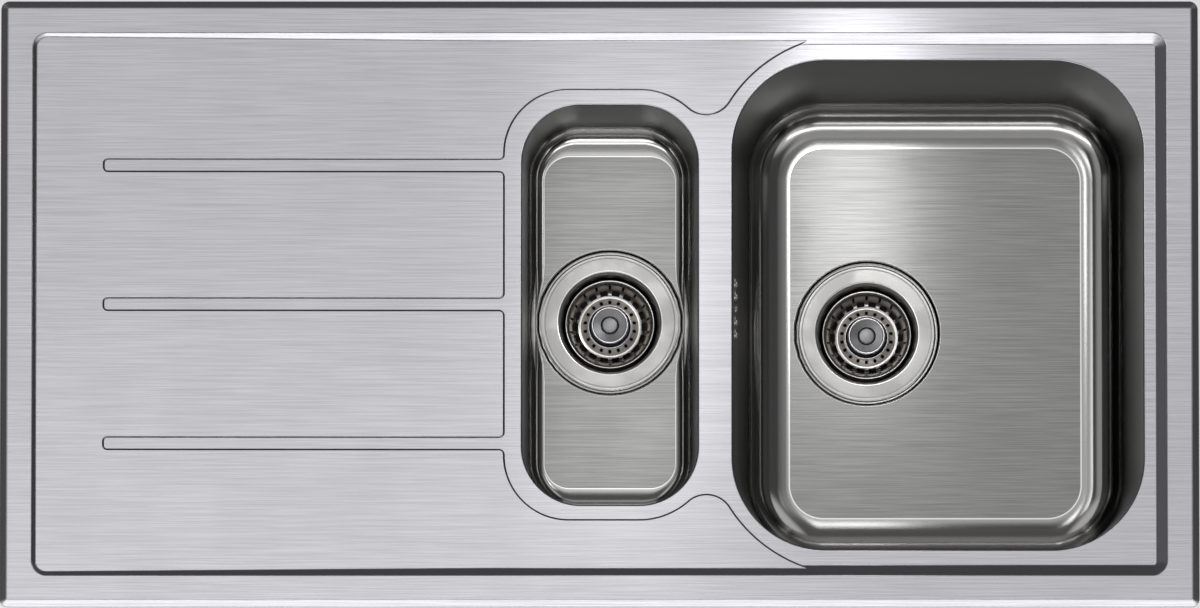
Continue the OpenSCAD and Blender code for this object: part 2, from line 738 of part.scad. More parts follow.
module overflow_housing() {
    back = -overflow_gasket_t - housing_depth;
    color("whitesmoke") difference() {
        union() {
            at_overflow() translate([back, -housing_l / 2, -housing_h / 2])
                cube([housing_depth, housing_l, housing_h]);
            translate([hose_x, 0, hose_top_z - spigot_grip])
                cylinder(r = spigot_r, h = spigot_grip + 12);
        }
        at_overflow() overflow_window(back + housing_wall, housing_depth);
        translate([hose_x, 0, hose_top_z - spigot_grip - eps])
            cylinder(r = spigot_r - 1.5, h = spigot_grip + 20);
        at_overflow() overflow_screw_hole(back - eps, housing_depth + 2 * eps);
    }
}

// The screw goes in from inside the bowl
module overflow_screw() {
    color("silver") at_overflow() rotate([0, 90, 0]) {
        translate([0, 0, sheet_t + 0.05]) cylinder(r1 = 4, r2 = 3.2, h = 1.4);
        translate([0, 0, -overflow_screw_l])
            cylinder(r = overflow_screw_r, h = overflow_screw_l + sheet_t + 0.1, $fn = 48);
    }
}

// The hose's middle line: straight down, a quarter turn, and straight into the inlet
hose_down = hose_top_z - inlet_z - hose_bend;
hose_turn = hose_bend * PI / 2;
hose_level = hose_end_x - hose_x - hose_bend;
hose_length = hose_down + hose_turn + hose_level;
function hose_angle(s) = 90 * min(1, max(0, (s - hose_down) / hose_turn));
function hose_point(s) =
    s <= hose_down ? [hose_x, 0, hose_top_z - s]
    : s <= hose_down + hose_turn
        ? [hose_x + hose_bend, 0, inlet_z + hose_bend]
            - hose_bend * [cos(hose_angle(s)), 0, sin(hose_angle(s))]
        : [hose_end_x - (hose_length - s), 0, inlet_z];
function hose_ring(s, r) = [
    for (i = [0 : hose_sides - 1])
        let (a = 360 * (i + 0.5) / hose_sides, t = hose_angle(s))
            hose_point(s) + r * (cos(a) * [cos(t), 0, sin(t)] + sin(a) * [0, 1, 0])
];

// The hose has a plain cuff at each end, ribs between them and one bore right through
module overflow_hose() {
    cuff = spigot_grip + 2;
    ribs = floor((hose_length - 2 * cuff) / rib_pitch);
    pitch = (hose_length - 2 * cuff) / ribs;
    low_r = hose_r - rib_h;
    bore_r = low_r - hose_wall;
    turns = 16;
    outer = concat(
        [hose_ring(0, low_r)],
        [for (i = [0 : ribs - 1], k = [0, 1])
            hose_ring(cuff + (i + k / 2) * pitch, k == 0 ? low_r : hose_r)],
        [hose_ring(hose_length - cuff, low_r), hose_ring(hose_length, low_r)]
    );
    bore = concat(
        [hose_ring(hose_length, bore_r)],
        [for (i = [turns : -1 : 0]) hose_ring(hose_down + hose_turn * i / turns, bore_r)],
        [hose_ring(0, bore_r)]
    );
    color("gainsboro") ring_skin(concat(outer, bore));
}

// A nut over the hose's end, drawn standing on its end wall
module hose_nut() {
    color("gainsboro") difference() {
        union() {
            cylinder(r = nut_r, h = nut_l);
            for (i = [0 : 7]) rotate([0, 0, 45 * i])
                translate([nut_r - 1, -1.5, 0]) cube([1.8, 3, nut_l - 2]);
        }
        translate([0, 0, 2]) cylinder(r = hose_r + 0.3, h = nut_l);
        translate([0, 0, -eps]) cylinder(r = spigot_r + 0.15, h = nut_l);
    }
}

module hose_nut_upper() {
    translate([hose_x, 0, hose_top_z + 2]) rotate([180, 0, 0]) hose_nut();
}

module hose_nut_lower() {
    translate([hose_end_x + 2, 0, inlet_z]) rotate([0, -90, 0]) hose_nut();
}

// Each clip's place on the sink's edge and the way that it faces: rear, front, right, left
clip_spots = concat(
    [for (s = [1, -1], i = [0 : side_clips - 1])
        [-sink_l / 2 + clip_end_gap + i * (sink_l - 2 * clip_end_gap) / (side_clips - 1), s * sink_w / 2,
            s > 0 ? 0 : 180]],
    [[sink_l / 2, 0, -90], [-sink_l / 2, 0, 90]]
);

// Places its children at a clip, where +Y points out over the sink's edge
module at_clip(i) {
    spot = clip_spots[i];
    translate([spot.x, spot.y, 0]) rotate([0, 0, spot.z]) children();
}

// A bent bracket under the flat of the rim, with a threaded foot
module clip_bracket() {
    inner = -clip_inset - 6;
    long = 12;
    under = top_z - sheet_t;
    translate([-clip_w / 2, inner, under - clip_t]) cube([clip_w, long, clip_t]);
    translate([-clip_w / 2, inner, -foot_drop]) cube([clip_w, clip_t, foot_drop + under]);
    difference() {
        union() {
            translate([-clip_w / 2, inner, -foot_drop]) cube([clip_w, long, clip_t]);
            translate([0, -clip_inset, -foot_drop]) cylinder(r = screw_r + 2, h = clip_t + 1);
        }
        translate([0, -clip_inset, -foot_drop - eps])
            cylinder(r = screw_r + run_gap, h = clip_t + 1 + 2 * eps);
    }
}

module clip_brackets() {
    color("lightslategray") for (i = [0 : len(clip_spots) - 1]) at_clip(i) clip_bracket();
}

module clip_screw(i) {
    tip = clip_t + 2;
    color("silver") at_clip(i) translate([0, -clip_inset, -foot_drop - screw_l]) {
        cylinder(r = screw_r, h = screw_l + tip);
        difference() {
            translate([0, 0, -4]) cylinder(r = screw_r * 2, h = 4);
            translate([-screw_r * 2 - eps, -0.6, -4 - eps]) cube([4 * screw_r + 2 * eps, 1.2, 2.2 + eps]);
        }
    }
}

// The claw lies along the sink's edge at rest, and turns out under the worktop
module clip_claw(i) {
    color("gray") at_clip(i) translate([0, -clip_inset, claw_z]) difference() {
        union() {
            cylinder(r = claw_w / 2, h = claw_t);
            translate([0, -claw_w / 2, 0]) cube([claw_l, claw_w, claw_t]);
            translate([claw_l - claw_t, -claw_w / 2, 0]) cube([claw_t, claw_w, claw_h - 2]);
            for (s = [0 : 2]) translate([claw_l - claw_t, -claw_w / 2 + s * claw_w * 0.4, 0])
                cube([claw_t, claw_w * 0.2, claw_h]);
        }
        translate([0, 0, -eps]) cylinder(r = screw_r + run_gap, h = claw_t + 2 * eps);
    }
}

module at_main_waste() {
    translate([main_drain_x, 0, main_seat_z]) children();
}

module at_half_waste() {
    translate([half_drain_x, 0, half_seat_z]) children();
}

deck_panel();
main_bowl();
half_bowl();
main_bowl_pad();
half_bowl_pad();
rim_seal();
at_main_waste() strainer_body();  // main_strainer_body
at_main_waste() flange_seal();  // main_flange_seal
at_main_waste() bowl_gasket();  // main_bowl_gasket
at_main_waste() friction_washer();  // main_friction_washer
at_main_waste() lock_nut();  // main_lock_nut
at_main_waste() tail_washer();  // main_tail_washer
at_main_waste() tail_piece(main_tail_l, true);  // main_tail_piece
at_main_waste() coupling_nut();  // main_coupling_nut
at_main_waste() basket_cup();  // main_basket_cup
at_main_waste() basket_seal();  // main_basket_seal
at_main_waste() basket_stem();  // main_basket_stem
at_main_waste() basket_knob();  // main_basket_knob
at_main_waste() knob_button();  // main_knob_button
at_half_waste() strainer_body();  // half_strainer_body
at_half_waste() flange_seal();  // half_flange_seal
at_half_waste() bowl_gasket();  // half_bowl_gasket
at_half_waste() friction_washer();  // half_friction_washer
at_half_waste() lock_nut();  // half_lock_nut
at_half_waste() tail_washer();  // half_tail_washer
at_half_waste() tail_piece(half_tail_l, false);  // half_tail_piece
at_half_waste() coupling_nut();  // half_coupling_nut
at_half_waste() basket_cup();  // half_basket_cup
at_half_waste() basket_seal();  // half_basket_seal
at_half_waste() basket_stem();  // half_basket_stem
at_half_waste() basket_knob();  // half_basket_knob
at_half_waste() knob_button();  // half_knob_button
overflow_gasket();
overflow_housing();
overflow_screw();
overflow_hose();
hose_nut_upper();
hose_nut_lower();
clip_brackets();
for (i = [1 : len(clip_spots)]) {
    clip_screw(i - 1);
    clip_claw(i - 1);
}
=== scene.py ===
import json
from math import atan2, ceil, cos, degrees, hypot, pi, radians, sin, sqrt, tan

import bmesh
import bpy
import numpy as np
from mathutils import Matrix, Vector
from mathutils.geometry import delaunay_2d_cdt


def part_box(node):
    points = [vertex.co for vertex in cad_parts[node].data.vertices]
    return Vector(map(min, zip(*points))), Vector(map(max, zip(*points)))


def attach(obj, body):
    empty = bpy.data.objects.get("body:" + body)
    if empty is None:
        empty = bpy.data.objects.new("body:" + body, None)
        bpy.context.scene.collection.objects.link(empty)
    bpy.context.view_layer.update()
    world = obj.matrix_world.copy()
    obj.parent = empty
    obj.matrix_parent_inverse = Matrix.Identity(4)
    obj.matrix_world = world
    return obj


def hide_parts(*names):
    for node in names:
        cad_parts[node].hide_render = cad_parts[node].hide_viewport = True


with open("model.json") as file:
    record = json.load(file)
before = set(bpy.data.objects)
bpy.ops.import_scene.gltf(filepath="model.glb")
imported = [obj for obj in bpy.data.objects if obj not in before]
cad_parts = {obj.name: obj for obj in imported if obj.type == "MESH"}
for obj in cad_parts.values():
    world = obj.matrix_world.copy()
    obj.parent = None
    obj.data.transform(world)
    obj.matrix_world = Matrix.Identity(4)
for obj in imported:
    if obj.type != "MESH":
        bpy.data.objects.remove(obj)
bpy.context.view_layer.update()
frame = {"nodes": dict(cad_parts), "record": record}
mm = 0.001
print("frame loaded")

# The camera stands where the photograph was taken from: far off, a little to the front
photo = {
    "width": 1200,
    "pixelsPerMm": 1.1984,
    "aim": (0.42, -0.08, 0),
    "tilt": 7.6,
    "lens": 700,
    "sensor": 36,
}


def addCamera(look):
    data = bpy.data.cameras.new("camera")
    data.lens = look["lens"]
    data.sensor_width = look["sensor"]
    away = look["width"] / look["pixelsPerMm"] * mm * look["lens"] / look["sensor"]
    data.clip_start = 0.1
    data.clip_end = away * 5
    tilt = radians(look["tilt"])
    camera = bpy.data.objects.new("camera", data)
    camera.location = Vector(look["aim"]) * mm + away * Vector((0, -sin(tilt), cos(tilt)))
    camera.rotation_euler = (tilt, 0, 0)
    bpy.context.scene.collection.objects.link(camera)
    bpy.context.scene.camera = camera


addCamera(photo)


def addNode(tree, kind, inputs=None, **settings):
    # Each input is a value, or another node's output to link
    node = tree.nodes.new(kind)
    for key, value in settings.items():
        setattr(node, key, value)
    for key, value in (inputs or {}).items():
        if isinstance(value, bpy.types.NodeSocket):
            tree.links.new(value, node.inputs[key])
        else:
            node.inputs[key].default_value = value
    return node


def newGroup(name, inputs, outputs):
    tree = bpy.data.node_groups.new(name, "ShaderNodeTree")
    for socket, kind, value in inputs:
        made = tree.interface.new_socket(socket, in_out="INPUT", socket_type=kind)
        if value is not None:
            made.default_value = value
    for socket, kind in outputs:
        tree.interface.new_socket(socket, in_out="OUTPUT", socket_type=kind)
    return tree, tree.nodes.new("NodeGroupInput"), tree.nodes.new("NodeGroupOutput")


def stretchedNoise(tree, place, scale, detail=2.0):
    mapped = addNode(tree, "ShaderNodeVectorMath", {0: place, 1: scale}, operation="MULTIPLY")
    return addNode(tree, "ShaderNodeTexNoise", {"Vector": mapped.outputs[0], "Scale": 1.0, "Detail": detail})


def ramp(tree, value, low, high, outLow=0.0, outHigh=1.0):
    inputs = {"Value": value, "From Min": low, "From Max": high, "To Min": outLow, "To Max": outHigh}
    return addNode(tree, "ShaderNodeMapRange", inputs, interpolation_type="SMOOTHSTEP").outputs["Result"]


def calc(tree, kind, first, second=0.0):
    return addNode(tree, "ShaderNodeMath", {0: first, 1: second}, operation=kind).outputs[0]


def mixValue(tree, factor, first, second):
    made = addNode(tree, "ShaderNodeMix", {"Factor": factor, 2: first, 3: second}, data_type="FLOAT")
    return made.outputs[0]


def mixColor(tree, factor, *colors):
    first, second = (c if isinstance(c, bpy.types.NodeSocket) else (*c, 1) for c in colors)
    made = addNode(tree, "ShaderNodeMix", {"Factor": factor, 6: first, 7: second}, data_type="RGBA")
    return made.outputs[2]


def makeGrainGroup():
    # Fine brush lines and broad streaks along X, turned to run along Y on walls that face X
    tree, start, end = newGroup(
        "brushedGrain",
        [("Length", "NodeSocketFloat", 9.0), ("Fineness", "NodeSocketFloat", 900.0)],
        [("Line", "NodeSocketFloat"), ("Streak", "NodeSocketFloat"), ("Smudge", "NodeSocketFloat")],
    )
    place = addNode(tree, "ShaderNodeTexCoord").outputs["Object"]
    facing = addNode(tree, "ShaderNodeNewGeometry").outputs["Normal"]
    split = addNode(tree, "ShaderNodeSeparateXYZ", {0: facing})
    onSide = ramp(tree, calc(tree, "ABSOLUTE", split.outputs[0]), 0.55, 0.8)
    length, fineness = start.outputs["Length"], start.outputs["Fineness"]
    alongX = addNode(tree, "ShaderNodeCombineXYZ", {0: length, 1: fineness, 2: fineness})
    alongY = addNode(tree, "ShaderNodeCombineXYZ", {0: fineness, 1: length, 2: fineness})
    scale = addNode(tree, "ShaderNodeMix", {"Factor": onSide, 4: alongX.outputs[0], 5: alongY.outputs[0]},
                    data_type="VECTOR")
    fine = stretchedNoise(tree, place, scale.outputs[1])
    wide = addNode(tree, "ShaderNodeVectorMath", {0: scale.outputs[1], "Scale": 0.3}, operation="SCALE")
    broad = stretchedNoise(tree, place, wide.outputs[0])
    smudge = addNode(tree, "ShaderNodeTexNoise", {"Vector": place, "Scale": 14.0, "Detail": 3.0})
    tree.links.new(ramp(tree, fine.outputs["Fac"], 0.3, 0.7), end.inputs["Line"])
    tree.links.new(ramp(tree, broad.outputs["Fac"], 0.3, 0.7), end.inputs["Streak"])
    tree.links.new(ramp(tree, smudge.outputs["Fac"], 0.35, 0.65), end.inputs["Smudge"])
    return tree


def makeSpeckGroup():
    # Fine grain and slow variation for moulded, cast and rubber surfaces
    tree, start, end = newGroup(
        "speckGrain",
        [("Fineness", "NodeSocketFloat", 900.0)],
        [("Grain", "NodeSocketFloat"), ("Cloud", "NodeSocketFloat")],
    )
    place = addNode(tree, "ShaderNodeTexCoord").outputs["Object"]
    grain = addNode(tree, "ShaderNodeTexNoise", {"Vector": place, "Scale": start.outputs[0], "Detail": 2.0})
    cloud = addNode(tree, "ShaderNodeTexNoise", {"Vector": place, "Scale": 30.0, "Detail": 3.0})
    tree.links.new(ramp(tree, grain.outputs["Fac"], 0.3, 0.7), end.inputs["Grain"])
    tree.links.new(ramp(tree, cloud.outputs["Fac"], 0.35, 0.65), end.inputs["Cloud"])
    return tree


def blankMaterial(name):
    material = bpy.data.materials.new(name)
    material.use_nodes = True
    tree = material.node_tree
    return material, tree, tree.nodes["Principled BSDF"]


def placeGroup(tree, group, **values):
    node = tree.nodes.new("ShaderNodeGroup")
    node.node_tree = group
    for name, value in values.items():
        node.inputs[name].default_value = value
    return node


def finishSurface(tree, shader, look, color, roughness, grain):
    bump = addNode(tree, "ShaderNodeBump", {
        "Height": grain,
        "Strength": look.get("bump", 0.2),
        "Distance": look.get("bumpDepth", 0.05) * mm,
    })
    tree.links.new(color, shader.inputs["Base Color"])
    tree.links.new(roughness, shader.inputs["Roughness"])
    tree.links.new(bump.outputs[0], shader.inputs["Normal"])


def steelMaterial(look):
    # Sheet steel. Zones by which way the sheet faces set its roughness and paint its colour darker or
    # lighter: painted shade and painted highlight.
    material, tree, shader = blankMaterial(look["name"])
    grain = placeGroup(tree, grainGroup, Length=look["length"], Fineness=look["fineness"]).outputs
    brushed = mixValue(tree, look["streak"], grain["Line"], grain["Streak"])
    color = mixColor(tree, brushed, look["dark"], look["light"])
    roughness = ramp(tree, grain["Smudge"], 0.0, 1.0, *look["roughness"])
    geometry = addNode(tree, "ShaderNodeNewGeometry").outputs
    facing = addNode(tree, "ShaderNodeSeparateXYZ", {0: geometry["Normal"]}).outputs
    spot = addNode(tree, "ShaderNodeSeparateXYZ", {0: geometry["Position"]}).outputs
    for zone in look["zones"]:
        inZone = ramp(tree, facing[2], zone["from"], zone["to"], 1.0, 0.0)
        if "side" in zone:
            side = zone["side"]
            turned = ramp(tree, facing[side["axis"]], side["low"], side["high"], *side["amounts"])
            inZone = calc(tree, "MULTIPLY", inZone, turned)
        if "beyond" in zone:
            start, end = zone["beyond"]
            inZone = calc(tree, "MULTIPLY", inZone, ramp(tree, spot[0], start, end))
        color = mixColor(tree, inZone, color, zone["color"])
        roughness = mixValue(tree, inZone, roughness, zone["roughness"])
    underside = ramp(tree, facing[2], -0.03, 0.0, 1.0, 0.0)
    color = mixColor(tree, underside, color, mixColor(tree, brushed, *look["outside"]))
    shader.inputs["Metallic"].default_value = 1.0
    shader.inputs["Anisotropic"].default_value = look["anisotropy"]
    across = addNode(tree, "ShaderNodeCombineXYZ", {0: 0.0, 1: 1.0, 2: 0.0})
    tree.links.new(across.outputs[0], shader.inputs["Tangent"])
    finishSurface(tree, shader, look, color, roughness, grain["Line"])
    return material


def turnedMaterial(look):
    # Metal turned or spun about a vertical axis, rubber and mouldings. A piece may carry two masks: a painted
    # highlight on thin edges and rings, and painted shade in a waste's cup and under and round a knob.
    material, tree, shader = blankMaterial(look["name"])
    speck = placeGroup(tree, speckGroup, Fineness=look.get("fineness", 2600.0)).outputs
    color = mixColor(tree, speck["Grain"], look["dark"], look["light"])
    roughness = ramp(tree, speck["Cloud"], 0.0, 1.0, *look["roughness"])
    for mask, tone, gloss in look.get("masks", ()):
        paintedMask = addNode(tree, "ShaderNodeAttribute", attribute_name=mask).outputs["Fac"]
        color = mixColor(tree, paintedMask, color, tone)
        roughness = mixValue(tree, paintedMask, roughness, gloss)
    shader.inputs["Metallic"].default_value = look.get("metallic", 1.0)
    finishSurface(tree, shader, look, color, roughness, speck["Grain"])
    return material


grainGroup = makeGrainGroup()
speckGroup = makeSpeckGroup()
materials = {
    "brushed_deck": steelMaterial({
        "name": "brushedDeck",
        "dark": (0.545, 0.54, 0.575),
        "light": (0.655, 0.65, 0.685),
        "streak": 0.2,
        # Painted shade, darker by facing: the bevel and the step wall but where they face the front, the
        # panels' edges and bowls' lips
        "zones": (
            {"from": 0.952, "to": 0.964, "color": (0.40, 0.39, 0.42), "roughness": 0.26,
             "side": {"axis": 1, "low": -0.3, "high": -0.1, "amounts": (0.0, 1.0)}},
            {"from": 0.83, "to": 0.9, "color": (0.12, 0.12, 0.13), "roughness": 0.26,
             "side": {"axis": 1, "low": -0.4, "high": 0.0, "amounts": (0.0, 1.0)}},
            {"from": 0.6, "to": 0.775, "color": (0.11, 0.11, 0.12), "roughness": 0.3},
        ),
        "outside": ((0.40, 0.40, 0.42), (0.50, 0.50, 0.52)),
        "roughness": (0.255, 0.265),
        "anisotropy": 0.6,
        "bump": 0.2,
        "bumpDepth": 0.02,
        "length": 14.0,
        "fineness": 1000.0,
    }),
    "polished_bowl": steelMaterial({
        "name": "polishedBowl",
        # The bowl's steel is painted darker than the deck's steel: painted shade for the deep bowl
        "dark": (0.25, 0.25, 0.245),
        "light": (0.345, 0.345, 0.34),
        "streak": 0.12,
        # From the floor up, painted by facing: a painted highlight on its edge line and the rounding's foot,
        # a painted highlight band on the rounding, painted shade on the right side and on the wall
        "zones": (
            {"from": 0.9995, "to": 0.9999, "color": (0.80, 0.80, 0.79), "roughness": 0.14},
            {"from": 0.9986, "to": 0.9993, "color": (0.40, 0.40, 0.395), "roughness": 0.2},
            {"from": 0.955, "to": 0.975, "color": (0.80, 0.79, 0.78), "roughness": 0.12},
            {"from": 0.68, "to": 0.8, "color": (0.05, 0.05, 0.05), "roughness": 0.15,
             "side": {"axis": 0, "low": -0.65, "high": -0.45, "amounts": (1.0, 0.0)}, "beyond": (0.15, 0.2)},
            {"from": 0.05, "to": 0.3, "color": (0.115, 0.115, 0.114), "roughness": 0.3},
        ),
        "outside": ((0.42, 0.42, 0.41), (0.52, 0.52, 0.51)),
        "anisotropy": 0.7,
        "roughness": (0.24, 0.26),
        "bump": 0.15,
        "bumpDepth": 0.02,
        "length": 16.0,
        "fineness": 1150.0,
    }),
    "satin_strainer": turnedMaterial({
        "name": "satinStrainer",
        "dark": (0.52, 0.515, 0.50),
        "light": (0.60, 0.595, 0.58),
        "roughness": (0.30, 0.38),
        # Masks: a painted highlight on the flange's edges and painted shade inside the cup
        "masks": (("paintedHighlight", (0.97, 0.97, 0.96), 0.16), ("paintedShade", (0.05, 0.045, 0.04), 0.5)),
    }),
    "polished_basket": turnedMaterial({
        "name": "polishedBasket",
        "dark": (0.46, 0.43, 0.40),
        "light": (0.56, 0.53, 0.50),
        "roughness": (0.26, 0.34),
        "bump": 0.05,
        # Mask: a painted highlight on the rim and the floor's trough
        "masks": (("paintedHighlight", (0.95, 0.95, 0.95), 0.1),),
    }),
    "knob_metal": turnedMaterial({
        "name": "knobMetal",
        "dark": (0.28, 0.28, 0.29),
        "light": (0.34, 0.34, 0.35),
        "roughness": (0.26, 0.32),
        # Masks: a painted highlight on the knob's rim and collar, painted shade under the head and round the
        # button
        "masks": (("paintedHighlight", (0.92, 0.92, 0.93), 0.12), ("paintedShade", (0.03, 0.033, 0.045), 0.3)),
    }),
    "button_metal": turnedMaterial({
        "name": "buttonMetal",
        "dark": (0.33, 0.33, 0.34),
        "light": (0.39, 0.39, 0.40),
        "roughness": (0.34, 0.40),
    }),
    "black_rubber": turnedMaterial({
        "name": "blackRubber",
        "dark": (0.018, 0.018, 0.02),
        "light": (0.035, 0.035, 0.037),
        "roughness": (0.55, 0.7),
        "metallic": 0.0,
        "fineness": 1800.0,
    }),
    "foam_seal": turnedMaterial({
        "name": "foamSeal",
        "dark": (0.025, 0.025, 0.026),
        "light": (0.075, 0.075, 0.078),
        "roughness": (0.8, 0.95),
        "metallic": 0.0,
        "fineness": 900.0,
        "bump": 0.7,
        "bumpDepth": 0.3,
    }),
    "sound_pad": turnedMaterial({
        "name": "soundPad",
        "dark": (0.08, 0.08, 0.085),
        "light": (0.15, 0.15, 0.155),
        "roughness": (0.6, 0.8),
        "metallic": 0.0,
        "fineness": 1200.0,
        "bump": 0.5,
        "bumpDepth": 0.2,
    }),
    "fibre_washer": turnedMaterial({
        "name": "fibreWasher",
        "dark": (0.50, 0.38, 0.24),
        "light": (0.68, 0.55, 0.38),
        "roughness": (0.7, 0.9),
        "metallic": 0.0,
        "fineness": 1500.0,
    }),
    "white_plastic": turnedMaterial({
        "name": "whitePlastic",
        "dark": (0.80, 0.80, 0.78),
        "light": (0.86, 0.86, 0.84),
        "roughness": (0.32, 0.42),
        "metallic": 0.0,
        "fineness": 1600.0,
        "bump": 0.08,
    }),
    "hose_plastic": turnedMaterial({
        "name": "hosePlastic",
        "dark": (0.70, 0.71, 0.71),
        "light": (0.78, 0.79, 0.79),
        "roughness": (0.42, 0.55),
        "metallic": 0.0,
        "fineness": 1600.0,
        "bump": 0.1,
    }),
    "zinc_steel": turnedMaterial({
        "name": "zincSteel",
        "dark": (0.44, 0.45, 0.48),
        "light": (0.62, 0.63, 0.66),
        "roughness": (0.30, 0.45),
        "fineness": 500.0,
    }),
    "steel_screw": turnedMaterial({
        "name": "steelScrew",
        "dark": (0.50, 0.50, 0.51),
        "light": (0.62, 0.62, 0.63),
        "roughness": (0.25, 0.35),
    }),
}


def slotOf(node):
    return next(s["material_slot"] for s in frame["record"]["subparts"] if s["node"] == node)


for node, item in frame["nodes"].items():
    item.data.materials.clear()
    item.data.materials.append(materials[slotOf(node)])
print("materials made")


def addObject(name, mesh, slotName):
    piece = bpy.data.objects.new(name, mesh)
    bpy.context.scene.collection.objects.link(piece)
    mesh.materials.clear()
    mesh.materials.append(materials[slotName])
    return piece


def smooth(mesh, angle):
    for face in mesh.polygons:
        face.use_smooth = True
    mesh.set_sharp_from_angle(angle=radians(angle))


def meshFrom(name, parts, slotName, angle=35, place=None):
    # parts are pairs of points in millimetres and faces, joined in one mesh
    points, faces = [], []
    for corners, sides in parts:
        start = len(points)
        points += [tuple(float(v) * mm for v in p) for p in corners]
        faces += [tuple(start + i for i in side) for side in sides]
    mesh = bpy.data.meshes.new(name)
    mesh.from_pydata(points, [], faces)
    if place is not None:
        mesh.transform(place)
    work = bmesh.new()
    work.from_mesh(mesh)
    bmesh.ops.remove_doubles(work, verts=work.verts, dist=1e-7)
    bmesh.ops.recalc_face_normals(work, faces=work.faces)
    work.to_mesh(mesh)
    work.free()
    smooth(mesh, angle)
    return addObject(name, mesh, slotName)


def applyModifiers(piece, angle=35):
    graph = bpy.context.evaluated_depsgraph_get()
    made = bpy.data.meshes.new_from_object(piece.evaluated_get(graph))
    piece.modifiers.clear()
    old = piece.data
    piece.data = made
    bpy.data.meshes.remove(old)
    smooth(made, angle)


def bevelled(piece, width, segments=2, angle=35):
    modifier = piece.modifiers.new("bevel", "BEVEL")
    modifier.width = width * mm
    modifier.segments = segments
    modifier.limit_method = "ANGLE"
    modifier.angle_limit = radians(30)
    applyModifiers(piece, angle)
    return piece


def thickened(piece, thickness, angle=35):
    modifier = piece.modifiers.new("sheet", "SOLIDIFY")
    modifier.thickness = thickness * mm
    modifier.offset = -1
    applyModifiers(piece, angle)
    return piece


def cutAway(piece, parts, place, angle=35):
    cutter = meshFrom("cutter", parts, "black_rubber", place=place)
    modifier = piece.modifiers.new("cut", "BOOLEAN")
    modifier.operation = "DIFFERENCE"
    modifier.solver = "EXACT"
    modifier.object = cutter
    applyModifiers(piece, angle)
    bpy.data.objects.remove(cutter)


def paint(piece, mask, amount, place):
    # Writes a mask on the piece's points; amount takes a point's radius and height at its waste
    back = place.inverted()
    layer = piece.data.attributes.new(mask, "FLOAT", "POINT")
    for point, value in zip(piece.data.vertices, layer.data):
        at = back @ point.co
        value.value = amount(hypot(at.x, at.y) / mm, at.z / mm)
    return piece


def within(value, low, high, soft=0.25):
    # One between low and high, falling to nothing over soft on both sides
    return max(0.0, min(1.0, (value - low) / soft + 1, (high - value) / soft + 1))


def settle(piece, body, *nodes):
    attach(piece, body)
    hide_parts(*nodes)
    return piece


def loftFaces(count, rings, wrap=False):
    last = rings if wrap else rings - 1
    faces = []
    for j in range(last):
        k = (j + 1) % rings
        for i in range(count):
            n = (i + 1) % count
            faces.append((j * count + i, j * count + n, k * count + n, k * count + i))
    return faces


def softened(profile, radius, steps=3):
    # Rounds the corners of a closed profile, as far as its sides allow
    rounded = []
    count = len(profile)
    for i in range(count):
        here = Vector(profile[i])
        back = Vector(profile[i - 1]) - here
        ahead = Vector(profile[(i + 1) % count]) - here
        if here.x < 1e-6 or back.length < 1e-6 or ahead.length < 1e-6:
            rounded.append(tuple(here))
            continue
        reach = min(radius, back.length * 0.4, ahead.length * 0.4)
        first = here + back.normalized() * reach
        final = here + ahead.normalized() * reach
        for k in range(steps + 1):
            t = k / steps
            point = first * (1 - t) ** 2 + here * 2 * t * (1 - t) + final * t ** 2
            rounded.append(tuple(point))
    return rounded


def lathePart(profile, soft=0.4, segments=96, steps=3):
    rows = softened(profile, soft, steps) if soft else profile
    points = []
    for r, z in rows:
        for i in range(segments):
            a = 2 * pi * i / segments
            points.append((r * cos(a), r * sin(a), z))
    return points, loftFaces(segments, len(rows), wrap=True)


def boxPart(low, high, turn=0.0, taper=0.0):
    # A box between two corners, turned about Z, and narrower at its top by taper on each side
    points = []
    for z, t in ((low[2], 0.0), (high[2], taper)):
        for x, y in ((low[0] + t, low[1] + t), (high[0] - t, low[1] + t), (high[0] - t, high[1] - t),
                     (low[0] + t, high[1] - t)):
            points.append((x * cos(turn) - y * sin(turn), x * sin(turn) + y * cos(turn), z))
    faces = [(0, 3, 2, 1), (4, 5, 6, 7), (0, 1, 5, 4), (1, 2, 6, 5), (2, 3, 7, 6), (3, 0, 4, 7)]
    return points, faces


def threadPart(radius, depth, low, high, pitch, segments=72, inner=None):
    # A threaded cylinder whose radius follows the turn, fading out at both ends
    rows = ceil((high - low) / pitch * 6)
    points = []
    for j in range(rows + 1):
        z = low + (high - low) * j / rows
        fade = min(1, (z - low) / pitch, (high - z) / pitch)
        for i in range(segments):
            a = 2 * pi * i / segments
            wave = abs(((z / pitch + i / segments) % 1) * 2 - 1)
            r = radius - depth * (1 - wave * max(fade, 0))
            points.append((r * cos(a), r * sin(a), z))
    faces = loftFaces(segments, rows + 1)
    if inner is not None:
        start = len(points)
        for z in (low, high):
            for i in range(segments):
                a = 2 * pi * i / segments
                points.append((inner * cos(a), inner * sin(a), z))
        for i in range(segments):
            n = (i + 1) % segments
            top = rows * segments
            faces.append((i, start + i, start + n, n))
            faces.append((top + n, start + segments + n, start + segments + i, top + i))
            faces.append((start + n, start + i, start + segments + i, start + segments + n))
    return points, faces


def placed(x, y, z, turn=None):
    where = Matrix.Translation(Vector((x, y, z)) * mm)
    return where if turn is None else where @ turn


